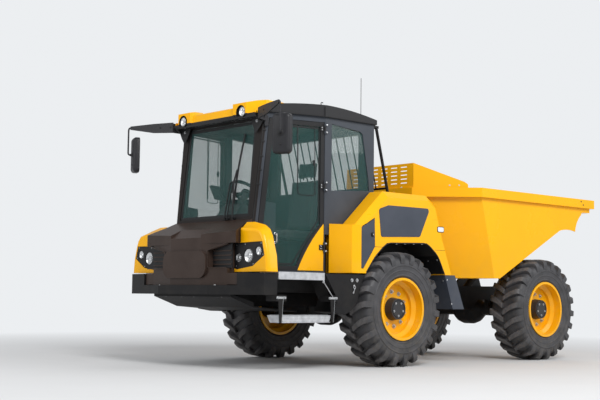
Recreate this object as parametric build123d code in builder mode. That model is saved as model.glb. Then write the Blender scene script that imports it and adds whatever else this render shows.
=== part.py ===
"""Articulated site dumper with a closed cab over the front axle and a tipping skip over the rear one.

Frame: +X forward to the nose, +Y to the machine's left, +Z up, millimetres.
The origin is on the ground, under the middle of the whole machine.
Stations called "ahead" are measured forward from the front axle.
"""

import math
import os

from build123d import *

os.makedirs("parts", exist_ok=True)

# Overall layout
wheelbase = 2465
nose_reach = 1957
tail_reach = 3540
track = 1880
pivot_behind = 1232
front_axle_x = (tail_reach - nose_reach) / 2
rear_axle_x = front_axle_x - wheelbase
pivot_x = front_axle_x - pivot_behind
fit_gap = 0.5
seat_gap = 0.3
panel_gap = 5

# Wheels
tyre_d = 1170
tyre_w = 420
tread_r = 541
lug_count = 22
lug_root = 500
lug_reach = 76
centre_groove = 4
bead_r = 302
rim_flange_r = 311
rim_wall = 9
well_r = 262
rim_half_w = 190
disc_offset = 25
disc_t = 16
hub_r = 118
hub_face = 127
axle_z = tyre_d / 2

# Axles
axle_tube_r = 84
diff_r = 190
pad_w = 60
pad_l = 180

# Frames
rail_y = 360
rail_t = 25
rail_top = 900
rail_over_axle = 690
rail_low = 520
front_rail_ahead = 1560
pivot_plate_behind = 620
pivot_boss_r = 110
nose_boss_r = 88
nose_len = 215
pivot_pin_r = 35
lug_t = 40
rear_rail_y = 330
rear_low = 570
rear_top = 850
rear_rail_start = 1560
rear_rail_end = 3090

# Skip
skip_half_w = 1060
skip_top = 1930
skip_floor = 930
skip_wall = 10
rim_out = 42
rim_h = 104
kink_behind = 1340
front_wall_behind = 830
front_half_w = 520
front_lean = 237
floor_front_behind = 1110
floor_rear_behind = 1690
tail_wall_behind = 3498
ramp_end_z = 1775
ramp_rise = 27
ear_tip = (3184, 1529)
ear_top = (3320, 1745)
ear_arch = (2724, 1481)
ear_arch_mid = (2937, 1540)
ear_back_mid = (3232, 1655)
guard_h = 280
guard_t = 6
guard_flange = 34
guard_flange_y = 500

# Tipping gear
tip_behind = 2900
tip_z = 1170
tip_pin_r = 30
skip_ear_y = 295
ear_t = 20
ram_y = 200
ram_foot = (1900, 620)
ram_eye = (2620, 1240)
ram_r = 45
ram_rod_r = 25
ram_stroke = 330

# Steering rams
steer_foot = (450, 300)
steer_eye = (-150, 180)
steer_z = 710
steer_r = 34
steer_rod_r = 18

# Cab
cab_floor_z = 930
cab_floor_t = cab_floor_z - rail_top
cab_top = 2500
cab_wall = 50
post_b = (820, 820)
post_a = (1460, 645)
cab_rear_ahead = 120
screen_foot_ahead = 1592
screen_foot_z = 1438
screen_lean = 0.10
arch_half_w = 700
arch_roof_z = 1320
roof_overhang = 22
roof_crown = 118
roof_front_ahead = 1495
visor_back = roof_front_ahead + seat_gap
visor_front = 1612
screen_low = screen_foot_z + 32
screen_high = cab_top - 80
rear_pane_low = 1840
rear_pane_high = cab_top - 90
rear_pane_half = 640
door_t = 40
glass_t = 6

# Bodywork
body_half_w = 1070
sill_top = 929
sill_inner = 800
fender_inner = 830
fender_tail_inner = 610
deck_z = 1785
bumper_low = 712
bumper_top = 917
cowl_bottom = 800

# Mirrors, antenna and guard rails
mirror_at = (1734, 1198, cab_top - 303)
antenna_at = (197, 700)
antenna_h = 440
antenna_r = 3
mirror_size = (70, 190, 380)
tube_r = 16


def ahead(distance):
    """X of a station measured forward from the front axle."""
    return front_axle_x + distance


def side_plane(y):
    """Plane seen from the left, local x forward, local y up; extrude(+) goes towards the right."""
    return Plane((0, y, 0), x_dir=(1, 0, 0), z_dir=(0, -1, 0))


def stations(points):
    """Side outline given in stations ahead of the front axle."""
    return [(ahead(x), z) for x, z in points]


def keep(piece, name):
    """Label a finished piece and write its STEP file."""
    piece.label = name
    export_step(piece, f"parts/{name}.step")
    print(name, round(piece.volume / 1e6, 2), "litres", len(piece.solids()))


def wheel_plane(axle_x, side):
    """Plane through the axle line, local x outboard, local y up."""
    return Plane((axle_x, side * track / 2, axle_z), x_dir=(0, side, 0), z_dir=(side, 0, 0))


# Tyre: a faceted body with straight lugs, each half turned half a pitch against the other
tyre_r = tyre_d / 2
half_tyre = tyre_w / 2
half_pitch = 180 / lug_count
lug_top = math.sqrt(tyre_r ** 2 - lug_reach ** 2)
lug_shoulder = half_tyre - 4

# Distance from the tyre's middle and radius there
tyre_sections = [(centre_groove, tread_r), (lug_shoulder, tread_r), (half_tyre, 440), (162, bead_r + 5)]

# Distance from the tyre's middle, low edge and high edge of a lug along the tread
lug_edges = [(centre_groove, -lug_reach, -16), (lug_shoulder, 16, lug_reach)]


def tyre_face(across):
    """Plane square to the axle, seen from the left."""
    return Plane((0, across, 0), x_dir=(1, 0, 0), z_dir=(0, -1, 0))


with BuildPart() as half_body:
    for across, radius in tyre_sections:
        with BuildSketch(tyre_face(across)):
            RegularPolygon(radius, lug_count, rotation=half_pitch)
    loft(ruled=True)
    with BuildPart(mode=Mode.PRIVATE) as lug:
        with BuildSketch(Plane((lug_root, 0, 0), x_dir=(0, 0, 1), z_dir=(1, 0, 0))):
            low_edge = [(low, across) for across, low, high in lug_edges]
            high_edge = [(high, across) for across, low, high in lug_edges]
            Polygon(*low_edge, *reversed(high_edge))
        extrude(amount=lug_top - lug_root)
    add([lug.part.rotate(Axis.Y, 2 * half_pitch * i) for i in range(lug_count)])
    with BuildSketch(tyre_face(half_tyre)):
        RegularPolygon(bead_r + seat_gap, lug_count, major_radius=False, rotation=half_pitch)
    extrude(amount=tyre_w, mode=Mode.SUBTRACT)
with BuildPart() as tyre:
    add(half_body.part)
    add(mirror(half_body.part, about=Plane.XZ, mode=Mode.PRIVATE).rotate(Axis.Y, half_pitch))
    with BuildSketch(tyre_face(centre_groove + 6)):
        RegularPolygon(tread_r - 11, lug_count // 2)
        RegularPolygon(bead_r + 28, lug_count // 2, mode=Mode.SUBTRACT)
    extrude(amount=2 * centre_groove + 12)

# A lug's corner is turned to the ground
standing_tyre = tyre.part.rotate(Axis.Y, 90 + math.degrees(math.atan2(lug_reach, lug_top)))

# Wheels: a tyre and a dished rim with its hub at each corner
wheels = [
    ("front_left", front_axle_x, 1),
    ("front_right", front_axle_x, -1),
    ("rear_left", rear_axle_x, 1),
    ("rear_right", rear_axle_x, -1),
]
for name, axle_x, side in wheels:
    hub_line = Axis((axle_x, 0, axle_z), (0, 1, 0))
    keep(Pos(axle_x, side * track / 2, axle_z) * standing_tyre, f"tyre_{name}")

    with BuildPart() as rim:
        with BuildSketch(wheel_plane(axle_x, side)):
            outer = [(-rim_half_w, rim_flange_r + 8), (-rim_half_w + 14, rim_flange_r + 8),
                     (-rim_half_w + 14, bead_r), (-118, bead_r), (-92, well_r), (70, well_r),
                     (98, bead_r), (rim_half_w - 14, bead_r), (rim_half_w - 14, rim_flange_r + 8),
                     (rim_half_w, rim_flange_r + 8)]
            inner = [(rim_half_w, bead_r - rim_wall), (102, bead_r - rim_wall),
                     (74, well_r - rim_wall), (disc_offset + disc_t, well_r - rim_wall),
                     (disc_offset + disc_t, hub_r), (hub_face, hub_r - 12), (hub_face, 0),
                     (disc_offset, 0), (disc_offset, well_r - rim_wall), (-96, well_r - rim_wall),
                     (-122, bead_r - rim_wall), (-rim_half_w, bead_r - rim_wall)]
            Polygon(outer + inner)
        revolve(axis=hub_line)
    keep(rim.part, f"rim_{name}")

# Axles: cast housing with the differential in the middle, end drums inside the rims and spring pads
axles = [
    ("front_axle", front_axle_x, rail_y, rail_over_axle),
    ("rear_axle", rear_axle_x, rear_rail_y, rail_over_axle),
]
drum_end = track / 2 + disc_offset - fit_gap
for name, axle_x, rail_at, pad_top in axles:
    with BuildPart() as axle:
        with BuildSketch(Plane((axle_x, 0, axle_z), x_dir=(0, 1, 0), z_dir=(1, 0, 0))):
            Polygon((0, 0), (drum_end, 0), (drum_end, 128), (drum_end - 130, 140),
                    (drum_end - 240, 140), (drum_end - 250, axle_tube_r + 16), (230, axle_tube_r),
                    (120, diff_r - 20), (60, diff_r), (0, diff_r))
        revolve(axis=Axis((axle_x, 0, axle_z), (0, 1, 0)))
        mirror(about=Plane.XZ)
        with BuildSketch(Plane.XY.offset(axle_z)):
            with Locations((axle_x, rail_at), (axle_x, -rail_at)):
                Rectangle(pad_l, pad_w)
        extrude(amount=pad_top - axle_z)
    keep(axle.part, name)

# Front frame: two deep rails, cross members and the pivot lugs with their upright pin
with BuildPart() as front_frame:
    with BuildSketch(side_plane(rail_y + rail_t / 2)):
        Polygon(stations([(-pivot_plate_behind, rail_low), (-430, rail_low), (-260, rail_over_axle),
                          (260, rail_over_axle), (430, 600), (1400, 600),
                          (front_rail_ahead, 700), (front_rail_ahead, rail_top),
                          (-pivot_plate_behind, rail_top)]))
    extrude(amount=rail_t)
    mirror(about=Plane.XZ)
    for station, low, thick in [(1500, 700, 40), (760, 640, 60), (-330, 760, 60)]:
        with BuildSketch(Plane.XY.offset(low)):
            with Locations((ahead(station), 0)):
                Rectangle(thick, 2 * rail_y)
        extrude(amount=rail_top - low)
    with BuildSketch(Plane.XY.offset(rail_low)):
        with Locations((ahead(-pivot_plate_behind + 25), 0)):
            Rectangle(50, 2 * rail_y)
    extrude(amount=rail_top - rail_low)
    for low in (rail_low, rail_top - lug_t):
        with BuildSketch(Plane.XY.offset(low)):
            Polygon((ahead(-pivot_plate_behind), -250), (ahead(-pivot_plate_behind), 250),
                    (pivot_x, pivot_boss_r), (pivot_x, -pivot_boss_r))
            with Locations((pivot_x, 0)):
                Circle(pivot_boss_r)
        extrude(amount=lug_t)
    with BuildSketch(Plane.XY.offset(rail_low)):
        with Locations((pivot_x, 0)):
            Circle(pivot_pin_r)
    extrude(amount=rail_top - rail_low)
    for side in (1, -1):
        for level in (steer_z - 46, steer_z + 26):
            with BuildSketch(Plane.XY.offset(level)):
                foot_x = pivot_x + steer_foot[0]
                Polygon((ahead(-pivot_plate_behind), side * (steer_foot[1] - 50)),
                        (ahead(-pivot_plate_behind), side * (steer_foot[1] + 50)),
                        (foot_x, side * (steer_foot[1] + 34)), (foot_x, side * (steer_foot[1] - 34)))
                with Locations((foot_x, side * steer_foot[1])):
                    Circle(34)
            extrude(amount=20)
        with BuildSketch(Plane.XY.offset(steer_z - 46)):
            with Locations((pivot_x + steer_foot[0], side * steer_foot[1])):
                Circle(16)
        extrude(amount=92)
keep(front_frame.part, "front_frame")

# Rear frame: nose bored for the pivot pin, rails over the axle, posts for the skip hinge, rest pads
tip_x = ahead(-tip_behind)
with BuildPart() as rear_frame:
    with BuildSketch(Plane.XY.offset(rear_low)):
        Polygon((pivot_x, -nose_boss_r), (pivot_x - nose_len, -nose_boss_r), (ahead(-rear_rail_start), -rear_rail_y),
                (ahead(-rear_rail_start - 60), -rear_rail_y), (ahead(-rear_rail_start - 60), rear_rail_y),
                (ahead(-rear_rail_start), rear_rail_y), (pivot_x - nose_len, nose_boss_r), (pivot_x, nose_boss_r))
        with Locations((pivot_x, 0)):
            Circle(nose_boss_r)
    extrude(amount=rear_top - rear_low)
    with BuildSketch(Plane.XY.offset(rear_low + 50)):
        Polygon((ahead(-rear_rail_start - 60), -rear_rail_y + 60), (ahead(-rear_rail_start - 60), rear_rail_y - 60),
                (ahead(-rear_rail_start + 20), rear_rail_y - 110), (pivot_x - nose_len + 30, 60),
                (pivot_x - nose_len + 30, -60), (ahead(-rear_rail_start + 20), -rear_rail_y + 110))
    extrude(amount=rear_top - rear_low - 100, mode=Mode.SUBTRACT)
    with BuildSketch(side_plane(rear_rail_y + rail_t / 2)):
        Polygon(stations([(-rear_rail_end, 700), (-2725, rail_over_axle), (-2205, rail_over_axle),
                          (-2080, rear_low), (-rear_rail_start, rear_low), (-rear_rail_start, rear_top),
                          (-2560, rear_top), (-tip_behind + 70, tip_z), (-tip_behind - 70, tip_z),
                          (-rear_rail_end, 860)]))
        with Locations((tip_x, tip_z)):
            Circle(70)
    extrude(amount=rail_t)
    mirror(about=Plane.XZ)
    with BuildSketch(side_plane(rear_rail_y)):
        with Locations((ahead(-rear_rail_end + 20), 780)):
            Rectangle(40, 160)
        with Locations((ahead(-ram_foot[0]), ram_foot[1])):
            Circle(ram_rod_r)
    extrude(amount=2 * rear_rail_y)
    with BuildSketch(side_plane(rear_rail_y + rail_t)):
        with Locations((tip_x, tip_z)):
            Circle(tip_pin_r + fit_gap)
    extrude(amount=2 * (rear_rail_y + rail_t), mode=Mode.SUBTRACT)
    with BuildSketch(Plane.XY.offset(rear_top)):
        with Locations((ahead(-rear_rail_start - 30), 250), (ahead(-rear_rail_start - 30), -250)):
            Rectangle(60, 120)
    extrude(amount=skip_floor - rear_top)
    for side in (1, -1):
        eye_x = pivot_x + steer_eye[0]
        for level in (steer_z - 46, steer_z + 26):
            with BuildSketch(Plane.XY.offset(level)):
                with Locations((eye_x, side * steer_eye[1])):
                    Circle(32)
                Polygon((eye_x - 32, side * (steer_eye[1] - 100)), (eye_x + 10, side * (steer_eye[1] - 100)),
                        (eye_x + 32, side * steer_eye[1]), (eye_x - 32, side * steer_eye[1]))
            extrude(amount=20)
    with BuildSketch(Plane.XY.offset(rear_low)):
        with Locations((pivot_x, 0)):
            Circle(pivot_pin_r + fit_gap)
    extrude(amount=rear_top - rear_low, mode=Mode.SUBTRACT)
keep(rear_frame.part, "rear_frame")


# Skip: a faceted tub with sloping ramp to the tail, diagonal front corners, a box rim and side ears
def tub_profile(inset, top):
    """Side outline of the tub, inset by a wall."""
    lean = front_lean / (skip_top - skip_floor - 55)
    rise = math.tan(math.radians(ramp_rise))
    front = -front_wall_behind - inset
    low = skip_floor + inset
    ramp_foot = -floor_rear_behind + 0.24 * inset
    ramp_len = (ramp_end_z - skip_floor) / rise
    return stations([
        (front - lean * (skip_top - low - 55), low + 55),
        (front - lean * (skip_top - low - 55) - 50, low),
        (ramp_foot, low),
        (ramp_foot - ramp_len, ramp_end_z + inset),
        (-tail_wall_behind + inset, ramp_end_z + inset),
        (-tail_wall_behind + inset, top),
        (front + lean * (top - skip_top), top),
    ])


def facet_plane(side, inset):
    """Plane of a diagonal front corner, leaning back towards the floor, with its normal outward."""
    kink = Vector(ahead(-kink_behind), side * skip_half_w, skip_top)
    corner = Vector(ahead(-front_wall_behind), side * front_half_w, skip_top)
    along = corner - kink
    slope = Vector(front_lean, 0, skip_top - skip_floor - 55)
    normal = along.cross(slope).normalized()
    if normal.X < 0:
        normal = normal * -1
    return Plane(kink - normal * inset, z_dir=normal)


def tub(inset, top):
    """Solid of the tub's outer skin, or of its inside when inset by a wall."""
    with BuildPart() as body:
        with BuildSketch(side_plane(skip_half_w - inset)):
            Polygon(tub_profile(inset, top))
        extrude(amount=2 * (skip_half_w - inset))
        for side in (1, -1):
            split(bisect_by=facet_plane(side, inset), keep=Keep.BOTTOM)
    return body.part


def rim_outline(out):
    """Plan of the rim, out from the tub's walls."""
    turn = 0.41 * out
    half = [(ahead(-tail_wall_behind) - out, skip_half_w + out),
            (ahead(-kink_behind) + turn, skip_half_w + out),
            (ahead(-front_wall_behind) + out, front_half_w + turn)]
    return half + [(x, -y) for x, y in reversed(half)]


with BuildPart() as skip:
    add(tub(0, skip_top))
    with BuildSketch(Plane.XY.offset(skip_top - rim_h)):
        Polygon(rim_outline(rim_out))
    extrude(amount=rim_h)
    for side in (1, -1):
        with BuildSketch(side_plane(side * (skip_half_w - skip_wall / 2) + skip_wall / 2)):
            with BuildLine():
                start = (ahead(-ear_arch[0]), ear_arch[1])
                tip = (ahead(-ear_tip[0]), ear_tip[1])
                ThreePointArc(start, (ahead(-ear_arch_mid[0]), ear_arch_mid[1]), tip)
                ThreePointArc(tip, (ahead(-ear_back_mid[0]), ear_back_mid[1]), (ahead(-ear_top[0]), ear_top[1]))
                Polyline((ahead(-ear_top[0]), ear_top[1]), (ahead(-ear_top[0]), skip_top - 20),
                         (ahead(-2400), skip_top - 20), (ahead(-2400), 1322), start)
            make_face()
        extrude(amount=skip_wall)
    add(tub(skip_wall, skip_top + 60), mode=Mode.SUBTRACT)
    for side in (1, -1):
        with BuildSketch(side_plane(side * (skip_ear_y - ear_t / 2) + ear_t / 2)):
            Polygon(stations([(-tip_behind + 260, 1431), (-tip_behind - 300, 1700),
                              (-tip_behind - 60, tip_z), (-tip_behind + 60, tip_z)]))
            with Locations((tip_x, tip_z)):
                Circle(60)
        extrude(amount=ear_t)
        with BuildSketch(side_plane(side * (skip_ear_y + 30) + 30)):
            with Locations((tip_x, tip_z)):
                Circle(tip_pin_r)
        extrude(amount=60)
        for ear_at in (ram_y - 34, ram_y + 34):
            with BuildSketch(side_plane(side * ear_at + 6)):
                Polygon(stations([(-ram_eye[0] + 110, 1375), (-ram_eye[0] - 140, 1499),
                                  (-ram_eye[0] - 50, ram_eye[1]), (-ram_eye[0] + 50, ram_eye[1])]))
                with Locations((ahead(-ram_eye[0]), ram_eye[1])):
                    Circle(50)
            extrude(amount=12)
    add(tub(skip_wall, skip_top + 60), mode=Mode.SUBTRACT)
keep(skip.part, "skip")

# Rock guard on the skip's front rim: a pierced plate across and a sloping wing along each diagonal
with BuildPart() as skip_guard:
    front_x = ahead(-front_wall_behind)
    with BuildSketch(Plane((front_x, 0, skip_top), x_dir=(0, 1, 0), z_dir=(1, 0, 0))):
        Polygon((-front_half_w, 0), (front_half_w, 0), (front_half_w, guard_h), (-front_half_w, guard_h))
        with GridLocations(150, 45, 6, 5):
            with Locations((0, guard_h / 2 + 12)):
                Rectangle(96, 12, mode=Mode.SUBTRACT)
    extrude(amount=-guard_t)
    kink = Vector(ahead(-kink_behind), skip_half_w, 0)
    corner = Vector(front_x, front_half_w, 0)
    wing_dir = (kink - corner).normalized()
    wing_len = (kink - corner).length
    with BuildSketch(Plane((corner.X, corner.Y, skip_top), x_dir=wing_dir,
                           z_dir=wing_dir.cross(Vector(0, 0, 1)))):
        Polygon((0, 0), (0.82 * wing_len, 0), (0.82 * wing_len, 40), (0.76 * wing_len, 70), (0, guard_h))
    extrude(amount=guard_t)
    mirror(about=Plane.XZ)
    with BuildSketch(Plane.XY.offset(skip_top + seat_gap)):
        Polygon((front_x - guard_t, -guard_flange_y), (front_x + guard_flange, -guard_flange_y),
                (front_x + guard_flange, guard_flange_y), (front_x - guard_t, guard_flange_y))
    extrude(amount=guard_t)
keep(skip_guard.part, "skip_guard")


# Rams: barrel and rod drawn in the plane they swing in
def ram_plane(foot, eye, across):
    """Plane at the foot pin, local x along the ram, normal along the pin."""
    along = (eye - foot).normalized()
    return Plane(foot, x_dir=along, z_dir=across)


def ram_barrel(foot, eye, across, radius, pin_r, length, width):
    """Closed tube with an eye round the foot pin."""
    line = (eye - foot).normalized()
    with BuildPart() as barrel:
        with BuildSketch(ram_plane(foot - across * (width / 2), eye, across)):
            Circle(pin_r + 22)
            with Locations((pin_r + 20, 0)):
                Rectangle(60, 2 * pin_r + 10)
        extrude(amount=width)
        with BuildSketch(Plane(foot + line * (pin_r + 30), z_dir=line)):
            Circle(radius)
        extrude(amount=length - pin_r - 30)
        with BuildSketch(ram_plane(foot - across * width, eye, across)):
            Circle(pin_r + fit_gap)
        extrude(amount=2 * width, mode=Mode.SUBTRACT)
    return barrel.part


def ram_bore(foot, eye, radius, start, length):
    """Bore that the rod runs in."""
    line = (eye - foot).normalized()
    with BuildPart() as bore:
        with BuildSketch(Plane(foot + line * start, z_dir=line)):
            Circle(radius + fit_gap)
        extrude(amount=length)
    return bore.part


def ram_rod(foot, eye, across, radius, pin_r, start, width, pin_len):
    """Rod with its eye and the short pin that rides between the ears."""
    line = (eye - foot).normalized()
    reach = (eye - foot).length
    with BuildPart() as rod:
        with BuildSketch(Plane(foot + line * start, z_dir=line)):
            Circle(radius)
        extrude(amount=reach - start - pin_r)
        with BuildSketch(ram_plane(eye - across * (width / 2), eye + line, across)):
            Circle(pin_r + 16)
        extrude(amount=width)
        with BuildSketch(ram_plane(eye - across * (pin_len / 2), eye + line, across)):
            Circle(pin_r)
        extrude(amount=pin_len)
    return rod.part


tip_foot = [Vector(ahead(-ram_foot[0]), side * ram_y, ram_foot[1]) for side in (1, -1)]
tip_eye = [Vector(ahead(-ram_eye[0]), side * ram_y, ram_eye[1]) for side in (1, -1)]
tip_len = (tip_eye[0] - tip_foot[0]).length
barrel_len = tip_len - 150
with BuildPart() as tip_barrels:
    for foot, eye in zip(tip_foot, tip_eye):
        add(ram_barrel(foot, eye, Vector(0, 1, 0), ram_r, ram_rod_r, barrel_len, 56))
        add(ram_bore(foot, eye, ram_rod_r, barrel_len - ram_stroke - 60, 800), mode=Mode.SUBTRACT)
keep(tip_barrels.part, "tip_ram_barrels")
with BuildPart() as tip_rods:
    for foot, eye in zip(tip_foot, tip_eye):
        add(ram_rod(foot, eye, Vector(0, 1, 0), ram_rod_r, 22, barrel_len - ram_stroke - 40, 46, 54))
keep(tip_rods.part, "tip_ram_rods")

for label, side in [("left", 1), ("right", -1)]:
    foot = Vector(pivot_x + steer_foot[0], side * steer_foot[1], steer_z)
    eye = Vector(pivot_x + steer_eye[0], side * steer_eye[1], steer_z)
    tube_len = (eye - foot).length - 150
    barrel = ram_barrel(foot, eye, Vector(0, 0, 1), steer_r, 16, tube_len, 48)
    with BuildPart() as steer_barrel:
        add(barrel)
        add(ram_bore(foot, eye, steer_rod_r, 90, 700), mode=Mode.SUBTRACT)
    keep(steer_barrel.part, f"steer_ram_barrel_{label}")
    rod_part = ram_rod(foot, eye, Vector(0, 0, 1), steer_rod_r, 14, 200, 40, 50)
    keep(rod_part, f"steer_ram_rod_{label}")


# Cab: a steel shell that narrows to the front, with a leaning screen and hinged glass doors
screen_plane = Plane((ahead(screen_foot_ahead), 0, screen_foot_z), z_dir=(1, 0, screen_lean))


def cab_plan(inset, rear_half, rear):
    """Half plan of the cab, mirrored; its front runs past the screen, which cuts it."""
    slope = (post_b[1] - post_a[1]) / (post_a[0] - post_b[0])
    far = 1800
    half = [(ahead(rear + inset), rear_half - inset), (ahead(post_b[0]), rear_half - inset),
            (ahead(post_b[0]), post_b[1] - inset * 1.02),
            (ahead(far), post_b[1] - inset * 1.035 - slope * (far - post_b[0]))]
    if rear_half == post_b[1]:
        half = [half[0], half[2], half[3]]
    return half + [(x, -y) for x, y in reversed(half)]


def cab_block(inset, low, split_z, high):
    """Solid cab volume: narrow between the wheels below, full width above."""
    with BuildPart() as block:
        with BuildSketch(Plane.XY.offset(low)):
            Polygon(cab_plan(inset, arch_half_w, cab_rear_ahead))
        extrude(amount=split_z + 10 - low)
        with BuildSketch(Plane.XY.offset(split_z)):
            Polygon(cab_plan(inset, post_b[1], cab_rear_ahead))
        extrude(amount=high - split_z)
        split(bisect_by=screen_plane.offset(-inset), keep=Keep.BOTTOM)
    return block.part


side_dir = Vector(post_a[0] - post_b[0], post_a[1] - post_b[1], 0).normalized()
side_in = Vector(0, 0, 1).cross(side_dir) * -1


def door_plane(inset):
    """Plane of the left door's face, local x forward from the hinge post, local y up."""
    start = Vector(ahead(post_b[0]), post_b[1], 0) + side_in * inset
    return Plane(start, x_dir=side_dir, z_dir=side_in)


def door_front(z, margin):
    """Distance along the door's face to the screen's edge, less a margin."""
    return ((screen_foot_ahead - screen_lean * (z - screen_foot_z)) - post_b[0]) / side_dir.X - margin


door_low = 958
door_high = cab_top - 60
door_rear = 14
post_w = 72


def door_outline(grow):
    """Outline of the door leaf, grown by a gap."""
    low = door_low - grow
    high = door_high + grow
    return [(door_rear - grow, low), (door_front(low, post_w) + grow, low),
            (door_front(high, post_w) + grow, high), (door_rear - grow, high)]


hinge_zs = (1190, 1800, cab_top - 120)
hinge_u = door_rear - panel_gap / 2
hinge_out = 10
knuckle_r = 10
knuckle_h = 50
strap_t = 8


def hinge_half(low, high, reach):
    """One knuckle of a hinge with its strap on the face it is screwed to."""
    base = door_plane(0)
    centre = base.from_local_coords((hinge_u, low, -hinge_out))
    with BuildPart() as half:
        with BuildSketch(Plane(centre, x_dir=side_dir, z_dir=(0, 0, 1))):
            Circle(knuckle_r)
            with Locations((reach / 2, strap_t / 2 - hinge_out)):
                Rectangle(abs(reach), strap_t)
        extrude(amount=high - low)
    return half.part


def pane_outline(low_half, high_half, low, high, inset):
    """Four corners of a pane across the cab, drawn in by a gap."""
    return [(inset - low_half, low + inset), (low_half - inset, low + inset),
            (high_half - inset, high - inset), (inset - high_half, high - inset)]


window_outline = stations([(190, 1800), (735, 1765), (735, cab_top - 60), (330, cab_top - 95),
                           (290, cab_top - 120), (200, 1920)])
with BuildPart() as cab_frame:
    add(cab_block(0, cab_floor_z, arch_roof_z, cab_top))
    add(cab_block(cab_wall, cab_floor_z - 20, arch_roof_z + cab_wall, cab_top + 20), mode=Mode.SUBTRACT)
    with BuildSketch(Plane.YZ.offset(ahead(1400))):
        Polygon(pane_outline(560, 540, screen_low, screen_high, 0))
    extrude(amount=400, mode=Mode.SUBTRACT)
    with BuildSketch(Plane.YZ.offset(ahead(0))):
        Polygon(pane_outline(rear_pane_half, rear_pane_half, rear_pane_low, rear_pane_high, 0))
    extrude(amount=300, mode=Mode.SUBTRACT)
    with BuildSketch(side_plane(900)):
        Polygon(window_outline)
    extrude(amount=1800, mode=Mode.SUBTRACT)
    with BuildPart(mode=Mode.PRIVATE) as doorway:
        with BuildSketch(door_plane(-20)):
            Polygon(door_outline(panel_gap))
        extrude(amount=cab_wall + 60)
        mirror(about=Plane.XZ)
    add(doorway.part, mode=Mode.SUBTRACT)
    for hinge_z in hinge_zs:
        for low in (hinge_z - knuckle_h, hinge_z + knuckle_h / 2 + seat_gap):
            knuckle = hinge_half(low, low + knuckle_h / 2 - seat_gap, -30)
            add(knuckle)
            add(mirror(knuckle, about=Plane.XZ, mode=Mode.PRIVATE))
keep(cab_frame.part, "cab_frame")


def roof_body(low, lift):
    """Crowned roof from a level up, lifted and drawn forward by a gap."""
    with BuildPart() as body:
        with BuildSketch(side_plane(post_b[1] + roof_overhang)):
            with BuildLine():
                front = ahead(roof_front_ahead) + lift
                rear = ahead(cab_rear_ahead - roof_overhang)
                Line((rear, low), (front, low))
                Line((front, low), (front, cab_top + 68 + lift))
                ThreePointArc((front, cab_top + 68 + lift), (ahead(800), cab_top + roof_crown + lift),
                              (rear, cab_top + 48 + lift))
                Line((rear, cab_top + 48 + lift), (rear, low))
            make_face()
        extrude(amount=2 * (post_b[1] + roof_overhang))
    return body.part


with BuildPart() as cab_roof:
    add(roof_body(cab_top, 0))
    with BuildSketch(Plane.XY.offset(cab_top)):
        Polygon(cab_plan(-roof_overhang, post_b[1], cab_rear_ahead))
    extrude(amount=roof_crown + 10, mode=Mode.INTERSECT)
keep(cab_roof.part, "cab_roof")

# Antenna: a thin mast on a small foot, standing on the roof's rear corner
with BuildPart() as antenna:
    with BuildSketch(Plane.XY.offset(cab_top)):
        with Locations((ahead(antenna_at[0]), antenna_at[1])):
            Circle(16)
    extrude(amount=80)
    with BuildSketch(Plane.XY.offset(cab_top + 60)):
        with Locations((ahead(antenna_at[0]), antenna_at[1])):
            Circle(antenna_r)
    extrude(amount=antenna_h)
    add(roof_body(cab_top - 10, seat_gap), mode=Mode.SUBTRACT)
keep(antenna.part, "antenna")

# Cab glass: windscreen, two side panes and the rear pane
with BuildPart() as cab_glass:
    with BuildSketch(Plane.YZ.offset(ahead(1300))):
        Polygon(pane_outline(560, 540, screen_low, screen_high, fit_gap))
    extrude(amount=500)
    split(bisect_by=screen_plane.offset(-10), keep=Keep.BOTTOM)
    split(bisect_by=screen_plane.offset(-10 - glass_t), keep=Keep.TOP)
    with BuildSketch(Plane.YZ.offset(ahead(cab_rear_ahead + 12))):
        Polygon(pane_outline(rear_pane_half, rear_pane_half, rear_pane_low, rear_pane_high, fit_gap))
    extrude(amount=glass_t)
    with BuildSketch(side_plane(post_b[1] - 10)):
        Polygon(window_outline)
        offset(amount=-fit_gap, mode=Mode.REPLACE)
    extrude(amount=glass_t)
    with BuildSketch(side_plane(-post_b[1] + 10)):
        Polygon(window_outline)
        offset(amount=-fit_gap, mode=Mode.REPLACE)
    extrude(amount=-glass_t)
keep(cab_glass.part, "cab_glass")

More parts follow.
